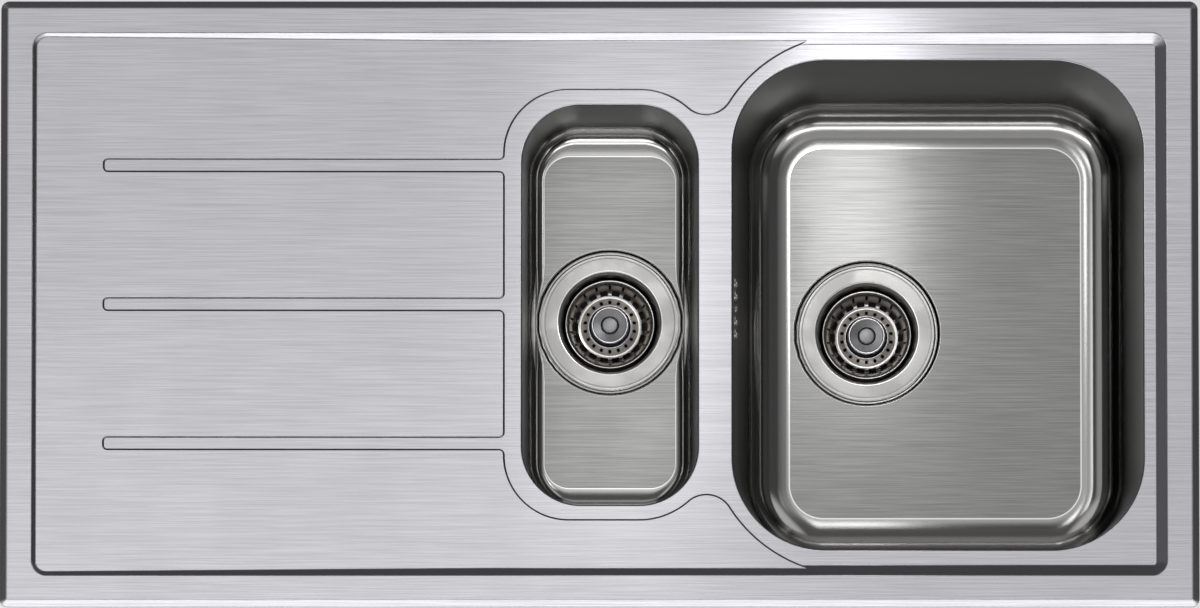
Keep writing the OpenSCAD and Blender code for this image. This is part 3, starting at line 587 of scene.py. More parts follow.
def roundedRing(cx, halfX, halfY, r, arcSteps, sideSteps):
    # Points of a rounded rectangle, counter-clockwise from its right side
    points = []
    corners = [(cx + halfX - r, halfY - r), (cx - halfX + r, halfY - r),
               (cx - halfX + r, r - halfY), (cx + halfX - r, r - halfY)]
    for k, (x, y) in enumerate(corners):
        for i in range(arcSteps + 1):
            a = pi / 2 * (k + i / arcSteps)
            points.append((x + r * cos(a), y + r * sin(a)))
        ahead = corners[(k + 1) % 4]
        a = pi / 2 * (k + 1)
        first = np.array(points[-1])
        final = np.array((ahead[0] + r * cos(a), ahead[1] + r * sin(a)))
        for i in range(1, sideSteps + 1):
            points.append(tuple(first + (final - first) * i / (sideSteps + 1)))
    return np.array(points)


def ringInset(x, y, cx, halfX, halfY, r):
    # How far points lie inside a rounded rectangle
    qx = np.abs(x - cx) - (halfX - r)
    qy = np.abs(y) - (halfY - r)
    outside = np.hypot(np.maximum(qx, 0), np.maximum(qy, 0))
    return r - outside - np.minimum(np.maximum(qx, qy), 0)


def softMin(a, b, k):
    h = np.maximum(k - np.abs(a - b), 0) / k
    return np.minimum(a, b) - h * h * k / 4


def softMax(a, b, k):
    return -softMin(-a, -b, k)


# Sizes are in millimetres, the same as in the part's source
deck = {
    "length": 1000,
    "width": 510,
    "topZ": 3,
    "sheet": 1,
    "edgeZ": 1,
    "bevel": 6,
    "rimR": 7.2,
    "stepEdge": 26.5,
    "stepR": 12.5,
    "stepRun": 1.33,
    "panelZ": -4,
    "lipR": 1.6,
    "foldSoft": 0.5,
    "edgeSoft": 0.4,
}
drainer = {
    "z": -1.9,
    "rise": 0.006415,
    "slopeX": -83.8,
    "blend": 30,
    "edgeX": -79.8,
    "depth": 2.1,
    "edgeHalf": 0.9,
    "grooveRows": (-117, 0, 117),
    "grooveHalf": 5.2,
    "grooveEnd": -414,
    "grooveEndR": 3.4,
    "mouthR": 4,
    "cornerR": 54,
    "cornerY": 127.2,
}
# The low panel's edge beside the bowls: an arc round the half bowl, one round the main bowl,
# and the raised panel's rounded tongue between them
lowPanel = {
    "halfX": 33,
    "halfY": 119.4,
    "halfR": 61.8,
    "mainX": 211.7,
    "mainY": 105.6,
    "mainR": 122,
    "tongueR": 22.9,
}


def panelArcs():
    # The low panel's edge with the grooves, counter-clockwise: centre, radius, first and last angle
    low = lowPanel
    away = hypot(low["mainX"] - low["halfX"], low["mainY"] - low["halfY"])
    ra, rb = low["halfR"] + low["tongueR"], low["mainR"] + low["tongueR"]
    along = (ra ** 2 - rb ** 2 + away ** 2) / (2 * away)
    up = sqrt(ra ** 2 - along ** 2)
    ux, uy = (low["mainX"] - low["halfX"]) / away, (low["mainY"] - low["halfY"]) / away
    tx, ty = low["halfX"] + along * ux - up * uy, low["halfY"] + along * uy + up * ux
    toHalf = degrees(atan2(ty - low["halfY"], tx - low["halfX"]))
    toMain = degrees(atan2(ty - low["mainY"], tx - low["mainX"]))
    upper = [
        (low["mainX"], low["mainY"], low["mainR"], 90, toMain),
        (tx, ty, low["tongueR"], toMain + 180, toHalf + 180),
        (low["halfX"], low["halfY"], low["halfR"], toHalf, 90),
        (drainer["edgeX"] + drainer["cornerR"], drainer["cornerY"], drainer["cornerR"], 90, 180),
    ]
    lower = [(x, -y, r, 360 - b, 360 - a) for x, y, r, a, b in reversed(upper)]
    grooves = []
    m, e = drainer["mouthR"], drainer["grooveEndR"]
    inX, endX = drainer["edgeX"] - m, drainer["grooveEnd"] + e
    for row in reversed(drainer["grooveRows"]):
        top, foot = row + drainer["grooveHalf"], row - drainer["grooveHalf"]
        grooves += [(inX, top + m, m, 360, 270), (endX, top - e, e, 90, 180),
                    (endX, foot + e, e, 180, 270), (inX, foot - m, m, 90, 0)]
    far, wide = deck["length"] * 0.6, low["mainY"] + low["mainR"]
    return upper + grooves + lower + [(far, -wide + 10, 10, 270, 360), (far, wide - 10, 10, 0, 90)]


def pathRow(arcs, offset, chord):
    # Points along the path, moved outward by offset
    points = []
    for x, y, r, a, b in arcs:
        grown = r + offset if b > a else r - offset
        steps = max(4, ceil(abs(radians(b - a)) * r / chord))
        for i in range(steps + 1):
            t = radians(a + (b - a) * i / steps)
            points.append((x + grown * cos(t), y + grown * sin(t)))
    return points


def pathDistance(arcs, px, py):
    # Distance from the path, below zero inside it
    best = np.full(px.shape, 1e9)
    ends = []
    for x, y, r, a, b in arcs:
        low, high = min(a, b), max(a, b)
        angle = (np.degrees(np.arctan2(py - y, px - x)) - low) % 360
        away = np.abs(np.hypot(px - x, py - y) - r)
        best = np.where(angle <= high - low, np.minimum(best, away), best)
        ends.append([(x + r * cos(radians(t)), y + r * sin(radians(t))) for t in (a, b)])
    for k in range(len(ends)):
        ax, ay = ends[k][1]
        bx, by = ends[(k + 1) % len(ends)][0]
        along = (bx - ax) ** 2 + (by - ay) ** 2
        t = np.clip(((px - ax) * (bx - ax) + (py - ay) * (by - ay)) / max(along, 1e-12), 0, 1)
        best = np.minimum(best, np.hypot(px - ax - t * (bx - ax), py - ay - t * (by - ay)))
    inside = np.zeros(px.shape, bool)
    loop = pathRow(arcs, 0, 0.5)
    for (ax, ay), (bx, by) in zip(loop, loop[1:] + loop[:1]):
        if ay == by:
            continue
        crossed = (ay > py) != (by > py)
        inside ^= crossed & (px < (bx - ax) * (py - ay) / (by - ay) + ax)
    return np.where(inside, -best, best)


def drainerHeight(x):
    t = np.maximum(drainer["slopeX"] - x, 0)
    blend = drainer["blend"]
    return drainer["z"] + drainer["rise"] * np.where(t < blend, t * t / (2 * blend), t - blend / 2)


def edgeDrop(inset, radius):
    # How far an edge rounded to a radius lies below the face, at a distance inside the edge
    t = np.clip(radius - inset, 0, radius)
    return radius - np.sqrt(np.maximum(radius * radius - t * t, 0))


def deckHeight(x, y, arcs, roundEdge=True):
    halfX, halfY = deck["length"] / 2, deck["width"] / 2
    top, soft = deck["topZ"], deck["foldSoft"]
    inset = ringInset(x, y, 0, halfX, halfY, deck["rimR"])
    bevel = deck["edgeZ"] + inset * (top - deck["edgeZ"]) / deck["bevel"]
    rim = softMin(bevel, top, soft * 0.6)
    if roundEdge:
        rim = rim - edgeDrop(inset, deck["edgeSoft"])
    edge = deck["stepEdge"]
    down = ringInset(x, y, 0, halfX - edge, halfY - edge, deck["stepR"]) / deck["stepRun"]
    t = np.clip(0.5 - pathDistance(arcs, x, y) / (2 * drainer["edgeHalf"]), 0, 1)
    panel = drainerHeight(x) - drainer["depth"] * t * t * (3 - 2 * t)
    inner = softMin(softMax(top - down, panel, soft), top, soft)
    return np.where(inset < edge / 2, rim, inner)


def deckRows(arcs):
    halfX, halfY = deck["length"] / 2, deck["width"] / 2
    edge, run = deck["stepEdge"], deck["stepRun"]
    rows = []
    for inset in (0, 0.05, 0.15, 0.4, 5.1, 5.6, 6, 6.4, 6.9):
        rows.append(roundedRing(0, halfX - inset, halfY - inset, max(deck["rimR"] - inset, 0.3), 12, 0))
    stepX, stepY, stepR = halfX - edge, halfY - edge, deck["stepR"]
    for inset in (-0.7, -0.35, 0, 0.35, 0.8):
        rows.append(roundedRing(0, stepX - inset, stepY - inset, stepR - inset, 12, 24))
    for shift in (-0.8, -0.4, 0, 0.4, 0.8):
        low = run * (deck["topZ"] - deck["panelZ"]) + shift
        rows.append(roundedRing(0, stepX - low, stepY - low, stepR - low, 12, 24))
        outer = roundedRing(0, stepX, stepY, stepR, 12, 24)
        unit = roundedRing(0, stepX + 1, stepY + 1, stepR + 1, 12, 24)
        depth = run * (deck["topZ"] - drainerHeight(outer[:, 0])) + shift
        rows.append(outer + (outer - unit) * depth[:, None])
    half = drainer["edgeHalf"]
    for share in (-1.15, -1, -0.75, -0.5, -0.25, 0, 0.25, 0.5, 0.75, 1, 1.15):
        rows.append(np.array(pathRow(arcs, share * half, 1.6)))
    return rows


mainBowl = {
    "name": "mainBowl",
    "node": "main_bowl",
    "cx": 282.6,
    "halfX": 171.4,
    "halfY": 206,
    "r": 77,
    "depth": 183,
    "taper": 5.3,
    "filletX": 35.4,
    "filletY": 35.4,
    "filletZ": 32.2,
    "drainX": 225.2,
    "keepSoft": 1,
    "tailL": 92,
}
halfBowl = {
    "name": "halfBowl",
    "node": "half_bowl",
    "cx": 8.7,
    "halfX": 73.3,
    "halfY": 168.4,
    "r": 49,
    "depth": 114,
    "taper": 3.3,
    "filletX": 13,
    "filletY": 23,
    "filletZ": 23,
    "drainX": 8.7,
    "keepSoft": 9,
    "tailL": 62,
}
recess = {"r": 61, "depth": 4, "holeR": 45, "keep": 62.5}
mouthSteps = (24, 16)  # points in each corner and on each side of a bowl's mouth


def mouthRing(bowl, grow):
    return roundedRing(bowl["cx"], bowl["halfX"] + grow, bowl["halfY"] + grow, bowl["r"] + grow, *mouthSteps)


def atHeight(ring, z):
    return np.column_stack((ring, np.full(len(ring), z)))


def lipCentre(bowl):
    lean = radians(bowl["taper"])
    return deck["lipR"] * (1 - sin(lean)) / cos(lean)


def makeDeck():
    arcs = panelArcs()
    points, edges = [], []
    for row in deckRows(arcs):
        start = len(points)
        points += [tuple(p) for p in row]
        edges += [(start + i, start + (i + 1) % len(row)) for i in range(len(row))]
    for away in (0, 10, 20, 30):
        x = drainer["slopeX"] - away
        edges.append((len(points), len(points) + 1))
        points += [(x, -deck["width"] * 0.43), (x, deck["width"] * 0.43)]
    mouths = []
    for bowl in (mainBowl, halfBowl):
        grow = lipCentre(bowl)
        mouths.append((bowl["cx"], bowl["halfX"] + grow, bowl["halfY"] + grow, bowl["r"] + grow))
        row = roundedRing(*mouths[-1], *mouthSteps)
        start = len(points)
        points += [tuple(p) for p in row]
        edges += [(start + i, start + (i + 1) % len(row)) for i in range(len(row))]
    halfX, halfY = deck["length"] / 2, deck["width"] / 2
    near = [i for i, p in enumerate(points) if abs(p[0]) <= halfX + 1e-6 and abs(p[1]) <= halfY + 1e-6]
    index = {old: new for new, old in enumerate(near)}
    edges = [(index[a], index[b]) for a, b in edges if a in index and b in index]
    made = delaunay_2d_cdt([Vector(points[i]) for i in near], edges, [], 0, 1e-5)
    flat = np.array([tuple(p) for p in made[0]])
    faces = np.array(made[2])
    middle = flat[faces].mean(1)
    keep = ringInset(middle[:, 0], middle[:, 1], 0, halfX, halfY, deck["rimR"]) > -1e-4
    for mouth in mouths:
        keep &= ringInset(middle[:, 0], middle[:, 1], *mouth) < 0
    faces = faces[keep]
    x, y = flat[:, 0], flat[:, 1]
    z = deckHeight(x, y, arcs)
    tiny = 0.01
    slopeX = (deckHeight(x + tiny, y, arcs) - deckHeight(x - tiny, y, arcs)) / (2 * tiny)
    slopeY = (deckHeight(x, y + tiny, arcs) - deckHeight(x, y - tiny, arcs)) / (2 * tiny)
    normals = np.column_stack((-slopeX, -slopeY, np.ones(len(x))))
    normals /= np.linalg.norm(normals, axis=1)[:, None]
    under = deckHeight(x, y, arcs, roundEdge=False) - deck["sheet"]
    count = len(x)
    allPoints = [np.column_stack((x, y, z)), np.column_stack((x, y, under))]
    allNormals = [normals, -normals]
    allFaces = [tuple(f) for f in faces] + [tuple(count + i for i in f[::-1]) for f in faces]
    total = 2 * count
    # The outer edge, from the top's last ring to the underside's
    ring = roundedRing(0, halfX, halfY, deck["rimR"], 12, 0)
    outward = roundedRing(0, halfX + 1, halfY + 1, deck["rimR"] + 1, 12, 0) - ring
    zs = deckHeight(ring[:, 0], ring[:, 1], arcs)
    unders = deckHeight(ring[:, 0], ring[:, 1], arcs, roundEdge=False) - deck["sheet"]
    n = len(ring)
    allPoints += [np.column_stack((ring, unders)), np.column_stack((ring, zs))]
    allNormals += [np.column_stack((outward, np.zeros(n)))] * 2
    allFaces += [tuple(total + i for i in f) for f in loftFaces(n, 2)]
    total += 2 * n
    # Each bowl's mouth: a lip rolled down to the bowl's wall
    for bowl in (mainBowl, halfBowl):
        rings, unit = lipRings(bowl)
        n = len(unit)
        for ring, turn in rings:
            inward = -unit * sin(turn)
            allPoints.append(ring)
            allNormals.append(np.column_stack((inward, np.full(n, cos(turn)))))
        allFaces += [tuple(total + i for i in f) for f in loftFaces(n, len(rings))]
        total += n * len(rings)
    mesh = bpy.data.meshes.new("deck")
    mesh.from_pydata((np.vstack(allPoints) * mm).tolist(), [], [[int(i) for i in f] for f in allFaces])
    for face in mesh.polygons:
        face.use_smooth = True
    mesh.normals_split_custom_set_from_vertices(np.vstack(allNormals).tolist())
    return addObject("deckPanel", mesh, "brushed_deck")


def lipRings(bowl, steps=7):
    # Rings of the rolled lip, each with the angle its face has turned, and the outward directions
    reach = lipCentre(bowl)
    r = deck["lipR"]
    last = pi / 2 - radians(bowl["taper"])
    rings = []
    for i in range(steps + 1):
        turn = last * i / steps
        flat = mouthRing(bowl, reach - r * sin(turn))
        rings.append((atHeight(flat, deck["panelZ"] - r + r * cos(turn)), turn))
    return rings, mouthRing(bowl, 1) - mouthRing(bowl, 0)


def bowlRing(bowl, insetX, insetY, z):
    # A ring of the wall or floor, pushed out where it would come too near the waste
    ring = roundedRing(bowl["cx"], bowl["halfX"] - insetX, bowl["halfY"] - insetY,
                       bowl["r"] - max(insetX, insetY), *mouthSteps)
    away = ring[:, 0] - bowl["drainX"]
    reach = np.sqrt(np.maximum(recess["keep"] ** 2 - ring[:, 1] ** 2, 0))
    pushed = softMax(np.abs(away), reach, bowl["keepSoft"])
    x = bowl["drainX"] + np.where(away < 0, -1, 1) * pushed
    return atHeight(np.column_stack((x, ring[:, 1])), z)


def bowlRings(bowl):
    panelZ = deck["panelZ"]
    floorZ = panelZ - bowl["depth"]
    lean = radians(bowl["taper"])
    wallDepth = bowl["depth"] - bowl["filletZ"]
    wallInset = wallDepth * tan(lean)
    lipZ = lipRings(bowl)[0][-1][0][0, 2]
    # The flange under the deck comes first, then the wall, the rounding, the floor and the recess
    rings = [atHeight(mouthRing(bowl, grow), lipZ - 0.4) for grow in (8, 0.4)]
    steps = 12
    for i in range(steps + 1):
        depth = (panelZ - lipZ) + (wallDepth - (panelZ - lipZ)) * i / steps
        rings.append(bowlRing(bowl, depth * tan(lean), depth * tan(lean), panelZ - depth))
    steps = 20
    for i in range(1, steps + 1):
        a = lean + (pi / 2 - lean) * i / steps
        share = (cos(lean) - cos(a)) / cos(lean)
        height = bowl["filletZ"] * (1 - sin(a)) / (1 - sin(lean))
        rings.append(bowlRing(bowl, wallInset + bowl["filletX"] * share, wallInset + bowl["filletY"] * share,
                              floorZ + height))
    guide = rings[-1]
    angle = np.arctan2(guide[:, 1], guide[:, 0] - bowl["drainX"])
    circle = np.column_stack((np.cos(angle), np.sin(angle)))

    def wasteRing(r, z):
        return atHeight(np.column_stack((bowl["drainX"] + r * circle[:, 0], r * circle[:, 1])), z)

    brink = wasteRing(recess["r"] + 1.2, floorZ)
    span = np.maximum(np.linalg.norm(brink - guide, axis=1), 1e-6)[:, None]
    rings.append(guide + (brink - guide) * np.minimum(0.25 / span, 0.3))
    for share in (0.1, 0.3, 0.5, 0.7, 0.9):
        rings.append(guide * (1 - share) + brink * share)
    rings.append(brink - (brink - guide) * np.minimum(0.25 / span, 0.09))
    rings.append(brink)
    for r, drop in ((0.75, 0.08), (0.35, 0.35), (0.1, 0.8), (-0.6, 2.8), (-0.9, 3.5), (-1.4, 3.9), (-2.2, 4)):
        rings.append(wasteRing(recess["r"] + r, floorZ - drop))
    rings.append(wasteRing(recess["holeR"], floorZ - recess["depth"]))
    return rings


def makeBowl(bowl):
    rings = bowlRings(bowl)
    count = len(rings[0])
    mesh = bpy.data.meshes.new(bowl["name"])
    mesh.from_pydata((np.vstack(rings) * mm).tolist(), [], loftFaces(count, len(rings)))
    smooth(mesh, 50)
    piece = addObject(bowl["name"], mesh, "polished_bowl")
    return thickened(piece, deck["sheet"], 50)


overflow = {
    "depth": 28,
    "pitch": 10.7,
    "slotW": 6,
    "slotH": 15,
    "slots": (-2, -1, 1, 2),
    "gasketT": 1.5,
    "housing": (18, 66, 34),
    "screwL": 14,
    "screwHole": 1.9,
    "edgeR": 1.25,
}
hose = {
    "x": 101.1,
    "topZ": -58,
    "bend": 76,
    "inletZ": -288.5,
    "endX": 197.2,
    "r": 10,
    "rib": 1.1,
    "bore": 8,
    "cuff": 14,
    "pitch": 3.6,
    "spigot": 7.2,
    "nutR": 13,
    "nutL": 16,
}


def overflowPlace():
    lean = radians(mainBowl["taper"])
    x = mainBowl["cx"] - mainBowl["halfX"] + overflow["depth"] * tan(lean) - deck["sheet"]
    return placed(x, 0, deck["panelZ"] - overflow["depth"], Matrix.Rotation(-lean, 4, "Y"))


def slotPoint(x, k, angle, reach):
    # A point of a slot's outline, at a reach from the middle of its round end
    straight = (overflow["slotH"] - overflow["slotW"]) / 2
    lift = straight if sin(angle) > 0 else -straight
    return x, k * overflow["pitch"] + reach * cos(angle), lift + reach * sin(angle)


def prismPart(points):
    # A solid between two equal outlines, given one after the other
    n = len(points) // 2
    return points, loftFaces(n, 2) + [tuple(range(n)), tuple(range(2 * n - 1, n - 1, -1))]


def cutOverflow(piece):
    # Slots with round ends, and the screw's hole between them
    through = (-6, 6)
    turns = [2 * pi * i / 24 for i in range(24)]
    parts = []
    for k in overflow["slots"]:
        parts.append(prismPart([slotPoint(x, k, a, overflow["slotW"] / 2) for x in through for a in turns]))
    r = overflow["screwHole"]
    turns = [2 * pi * i / 16 for i in range(16)]
    parts.append(prismPart([(x, r * cos(a), r * sin(a)) for x in through for a in turns]))
    cutAway(piece, parts, overflowPlace(), 50)


def rollSlotEdges(piece, around=28, across=10):
    # The slots are pressed, which leaves a small rolled edge on the inside of the bowl
    ends, roll = overflow["slotW"] / 2, overflow["edgeR"]
    work = bmesh.new()
    work.from_mesh(piece.data)
    place = overflowPlace()
    for k in overflow["slots"]:
        rings = []
        for i in range(around):
            a = 2 * pi * i / around
            rim = []
            for j in range(across):
                b = 2 * pi * j / across
                point = slotPoint(deck["sheet"] - 0.2 + roll * sin(b), k, a, ends + roll * (0.6 + cos(b)))
                rim.append(work.verts.new(place @ (Vector(point) * mm)))
            rings.append(rim)
        for i, near in enumerate(rings):
            far = rings[(i + 1) % around]
            for j in range(across):
                n = (j + 1) % across
                face = work.faces.new((near[j], near[n], far[n], far[j]))
                face.smooth = True
    work.to_mesh(piece.data)
    work.free()


settle(makeDeck(), "sink", "deck_panel")
print("deck made")
mainPiece = makeBowl(mainBowl)
cutOverflow(mainPiece)
rollSlotEdges(mainPiece)
settle(mainPiece, "sink", mainBowl["node"])
settle(makeBowl(halfBowl), "sink", halfBowl["node"])
print("bowls made")


waste = {
    "flangeR": 58,
    "mouthR": 42,
    "sealT": 1.2,
    "wall": 1.5,
    "depth": 42,
    "cupR": 39.5,
    "threadR": 43.5,
    "outletR": 23.9,
    "boreR": 19,
    "neckZ": -64,
    "tailTopZ": -65.5,
    "tailR": 20,
    "tailBoreR": 18,
    "tailFlangeR": 22.5,
    "threadL": 18,
    "threadPitch": 2.2,
    "inletDrop": 32,
    "nutR": 50,
    "nutH": 10,
    "lugs": 8,
    "lugR": (46, 54),
    "lugHalf": 5,
}


def strainerProfile():
    w = waste
    top = w["sealT"] + w["wall"]
    return [
        (w["flangeR"], w["sealT"]), (w["flangeR"], top - 0.9), (w["flangeR"] - 0.4, top - 0.4),
        (w["flangeR"] - 1.3, top), (w["flangeR"] - 3.0, top), (w["flangeR"] - 3.4, top - 0.12),
        (w["flangeR"] - 3.8, top), (w["mouthR"] + 2.2, top),
        (w["mouthR"] + 1.2, top - 0.16), (w["mouthR"] + 0.4, top - 0.8), (w["mouthR"], top - 2.2),
        (w["cupR"] + 0.3, -10), (w["cupR"], -12), (w["cupR"], 8 - w["depth"]),
        (w["cupR"] - 4, -w["depth"]), (w["boreR"], -w["depth"]), (w["boreR"], w["neckZ"]),
        (w["outletR"] - 0.9, w["neckZ"]), (w["outletR"] - 0.9, -w["depth"] - 5),
        (w["cupR"] - 3, -w["depth"] - 2), (w["cupR"] + w["wall"], 7 - w["depth"]),
        (w["cupR"] + w["wall"], -23), (w["threadR"] - 0.7, -21), (w["threadR"] - 0.7, w["sealT"]),
    ]


def strainerEdges(r, z):
    # Painted highlight: the flange's inner lip, and more faintly its outer bevel, are painted bright
    if z < waste["sealT"]:
        return 0.0
    bevel = within(r, waste["flangeR"] - 1.6, waste["flangeR"])
    return max(within(r, waste["mouthR"] + 1.1, waste["mouthR"] + 2.1), 0.3 * bevel)


def strainerInside(r, z):
    # Painted shade: the cup is painted dark below its throat
    return 1.0 if z <= -10 and r < waste["cupR"] + 0.4 else 0.0


def washerPart(outer, inner, z, height):
    return lathePart([(outer, z), (outer, z + height), (inner, z + height), (inner, z)], height * 0.3)


def makeNut(radius, inner, lipInner, lip, low, height, ribs, ribSize):
    # A moulded nut: ring, inner lip and grip ribs round its outside
    parts = [lathePart([
        (lipInner, low), (radius, low), (radius, low + height), (inner, low + height),
        (inner, low + lip), (lipInner, low + lip),
    ], 0.8)]
    deep, wide = ribSize
    for k in range(ribs):
        parts.append(boxPart((radius - 1, -wide / 2, low + 0.6), (radius + deep, wide / 2, low + height - 2),
                             2 * pi * k / ribs, 0.3))
    return parts


basket = {
    "r": 37.4,
    "rimZ": -8,
    "floorZ": -27.5,
    "sheet": 1,
    "count": 18,
    "windowHalf": 3.3,
    "dish": 2,
    "slotHalf": 1.0,
    "holeHalf": 1.35,
    "stemR": 4,
    "collarR": 18.5,
    "knobR": 15.6,
    "knobTopZ": -12.5,
    "knobHeadZ": -18.5,
    "buttonR": 6.8,
    "sealZ": -41.7,
}


def basketRows():
    # Rows of the basket's upper face: radius, height, half width of the window and of the slot
    floor = basket["floorZ"] + basket["sheet"]
    rim = basket["rimZ"]
    dish = basket["dish"]
    w, s, h = basket["windowHalf"], basket["slotHalf"], basket["holeHalf"]
    return [
        (4.2, floor + dish, 0.3, 0.2, ""), (18, floor + dish, 1.2, 0.8, ""),
        (19.3, floor + dish * 0.86, 1.4, h * 0.5, "hole"), (19.7, floor + dish * 0.8, 1.4, h * 0.85, "hole"),
        (20.3, floor + dish * 0.7, 1.5, h, "hole"), (21.6, floor + dish * 0.48, 1.5, h, "hole"),
        (22.2, floor + dish * 0.38, 1.6, h * 0.85, "hole"), (22.5, floor + dish * 0.33, 1.6, h * 0.5, ""),
        (23.8, floor + dish * 0.1, 2.4, 0.8, ""), (24.4, floor + 0.02, 2.4, 0.8, ""),
        (25.1, floor + 0.02, w * 0.6, 0.7, ""), (26.5, floor + 0.3, w * 0.82, 0.7, "window"),
        (26.9, floor + 0.42, w * 0.95, 0.5, "window"), (27.6, floor + 0.7, w, 0.5, "window"),
        (28.6, floor + 1.2, w, 0.6, "window"), (29.4, floor + 1.8, w, 0.7, "window"),
        (30.0, floor + 2.4, w * 0.95, 0.7, "window"), (30.3, floor + 2.9, w * 0.8, 0.7, ""),
        (30.6, floor + 3.5, 2.4, 0.8, ""), (30.75, floor + 4.0, 2.4, s * 0.6, "slot"),
        (30.9, floor + 4.3, 2.4, s, "slot"), (33.6, rim - 4.6, 2.4, s, "slot"),
        (33.8, rim - 4.2, 2.4, s * 0.6, ""), (34.1, rim - 3.6, 2.4, 0.8, ""),
        (34.9, rim - 2.1, 2.4, 0.8, ""), (35.6, rim - 1.0, 2.4, 0.8, ""), (36.1, rim - 0.35, 2.4, 0.8, ""),
        (36.5, rim - 0.08, 2.4, 0.8, ""), (36.9, rim, 2.4, 0.8, ""), (37.2, rim - 0.15, 2.4, 0.8, ""),
        (basket["r"], rim - 0.6, 2.4, 0.8, ""), (basket["r"], rim - 1.1, 2.4, 0.8, ""),
    ]


def basketEdges(r, z):
    # Painted highlight: the rolled rim and the floor's trough are painted bright
    floor = basket["floorZ"] + basket["sheet"]
    if z > basket["rimZ"] - 1.2:
        return within(r, 36.3, 37.0)
    return 0.5 * within(r, 24.4, 28.4, 0.5) if z < floor + 2 else 0.0


def makeBasketCup(name, place):
    pitch = 2 * pi / basket["count"]
    points, faces = [], []
    rows = basketRows()
    perPitch = 8
    for r, z, windowHalf, slotHalf, opening in rows:
        a, b = np.arcsin(windowHalf / r), np.arcsin(slotHalf / r)
        turns = (0, a * 0.5, a, pitch / 2 - b, pitch / 2, pitch / 2 + b, pitch - a, pitch - a * 0.5)
        for k in range(basket["count"]):
            for turn in turns:
                t = k * pitch + turn
                points.append((r * cos(t), r * sin(t), z))
    count = basket["count"] * perPitch
    for j in range(len(rows) - 1):
        opening = rows[j][4]
        for i in range(count):
            column = i % perPitch
            if opening == "window" and column in (0, 1, 6, 7):
                continue
            if opening in ("slot", "hole") and column in (3, 4):
                continue
            n = (i + 1) % count
            faces.append((j * count + i, (j + 1) * count + i, (j + 1) * count + n, j * count + n))
    mesh = bpy.data.meshes.new(name)
    mesh.from_pydata([tuple(v * mm for v in p) for p in points], [], faces)
    mesh.transform(place)
    smooth(mesh, 40)
    piece = addObject(name, mesh, "polished_basket")
    # Painted highlight on the rim and the floor's trough
    return paint(thickened(piece, basket["sheet"], 40), "paintedHighlight", basketEdges, place)


def knobProfile():
    b = basket
    base = b["floorZ"] + b["sheet"] + b["dish"]
    head, top, r = b["knobHeadZ"], b["knobTopZ"], b["knobR"]
    return [
        (b["stemR"] + 0.06, base), (b["collarR"] - 0.6, base - 0.3), (b["collarR"], base + 0.2),
        (b["collarR"], base + 0.9), (b["collarR"] - 0.5, base + 1.3), (b["collarR"] - 1.1, base + 1.2),
        (b["collarR"] - 2, base + 0.6), (8, base + 1.4), (7, base + 3), (7, head - 1.2), (r - 1.8, head),
        (r, head + 1.6), (r, top - 0.9), (r - 0.3, top - 0.2), (r - 0.7, top), (r - 1.3, top),
        (r - 1.8, top - 0.5), (b["buttonR"] + 0.8, top - 1.3), (b["buttonR"] + 0.3, top - 1.9),
        (0, top - 1.9), (0, head), (b["stemR"] + 0.06, head),
    ]


def knobEdges(r, z):
    # Painted highlight: bright rings at the knob's rim and at its collar
    if z > basket["knobHeadZ"]:
        return within(r, basket["knobR"] - 1.7, basket["knobR"] + 0.2, 0.15)
    return within(r, basket["collarR"] - 1.2, basket["collarR"] + 0.2, 0.2)


def knobShade(r, z):
    # Painted shade: dark in the ring under the head and round the button
    if z > basket["knobHeadZ"] + 2:
        return within(r, basket["buttonR"] - 0.2, basket["buttonR"] + 0.55, 0.15)
    return 1.0 - within(r, basket["collarR"] - 1.4, basket["collarR"] + 1, 0.3)


def stemProfile():
    # Foot under the seal, stem, washer over the seal and the sleeve up to the basket's floor
    r, floor, head = basket["stemR"], basket["floorZ"], basket["knobHeadZ"] - 2
    z = basket["sealZ"]
    top = z + 3
    return [
        (0, z - 2), (9, z - 2), (9, z), (r, z), (r, top), (12, top), (12, top + 1),
        (7, top + 1), (7, floor), (r, floor), (r, head), (0, head),
    ]


def tailParts(bowl):
    # The main bowl's tail piece takes the overflow's hose at its side
    w = waste
    thread, tube, top = w["outletR"], w["tailR"], w["tailTopZ"]
    foot = top - bowl["tailL"]
    threadTop = foot + w["threadL"]
    parts = [
        lathePart([
            (w["tailBoreR"], foot), (thread - 1, foot), (thread - 1, threadTop), (tube, threadTop + 0.5),
            (tube, top - 3), (w["tailFlangeR"], top - 3), (w["tailFlangeR"], top), (w["tailBoreR"], top),
        ], 0.6),
        threadPart(thread, 1, foot + 0.5, threadTop, w["threadPitch"]),
    ]
    if bowl is mainBowl:
        spigot = hose["spigot"]
        corners, sides = lathePart([
            (5.7, tube - 3), (8.8, tube - 3), (8.8, tube + 4), (spigot, tube + 5), (spigot, tube + 20),
            (5.7, tube + 20),
        ], 0.5, 48)
        turn = Matrix.Rotation(-pi / 2, 4, "Y")
        shift = Vector((0, 0, top - w["inletDrop"]))
        parts.append(([tuple(turn @ Vector(p) + shift) for p in corners], sides))
    return parts


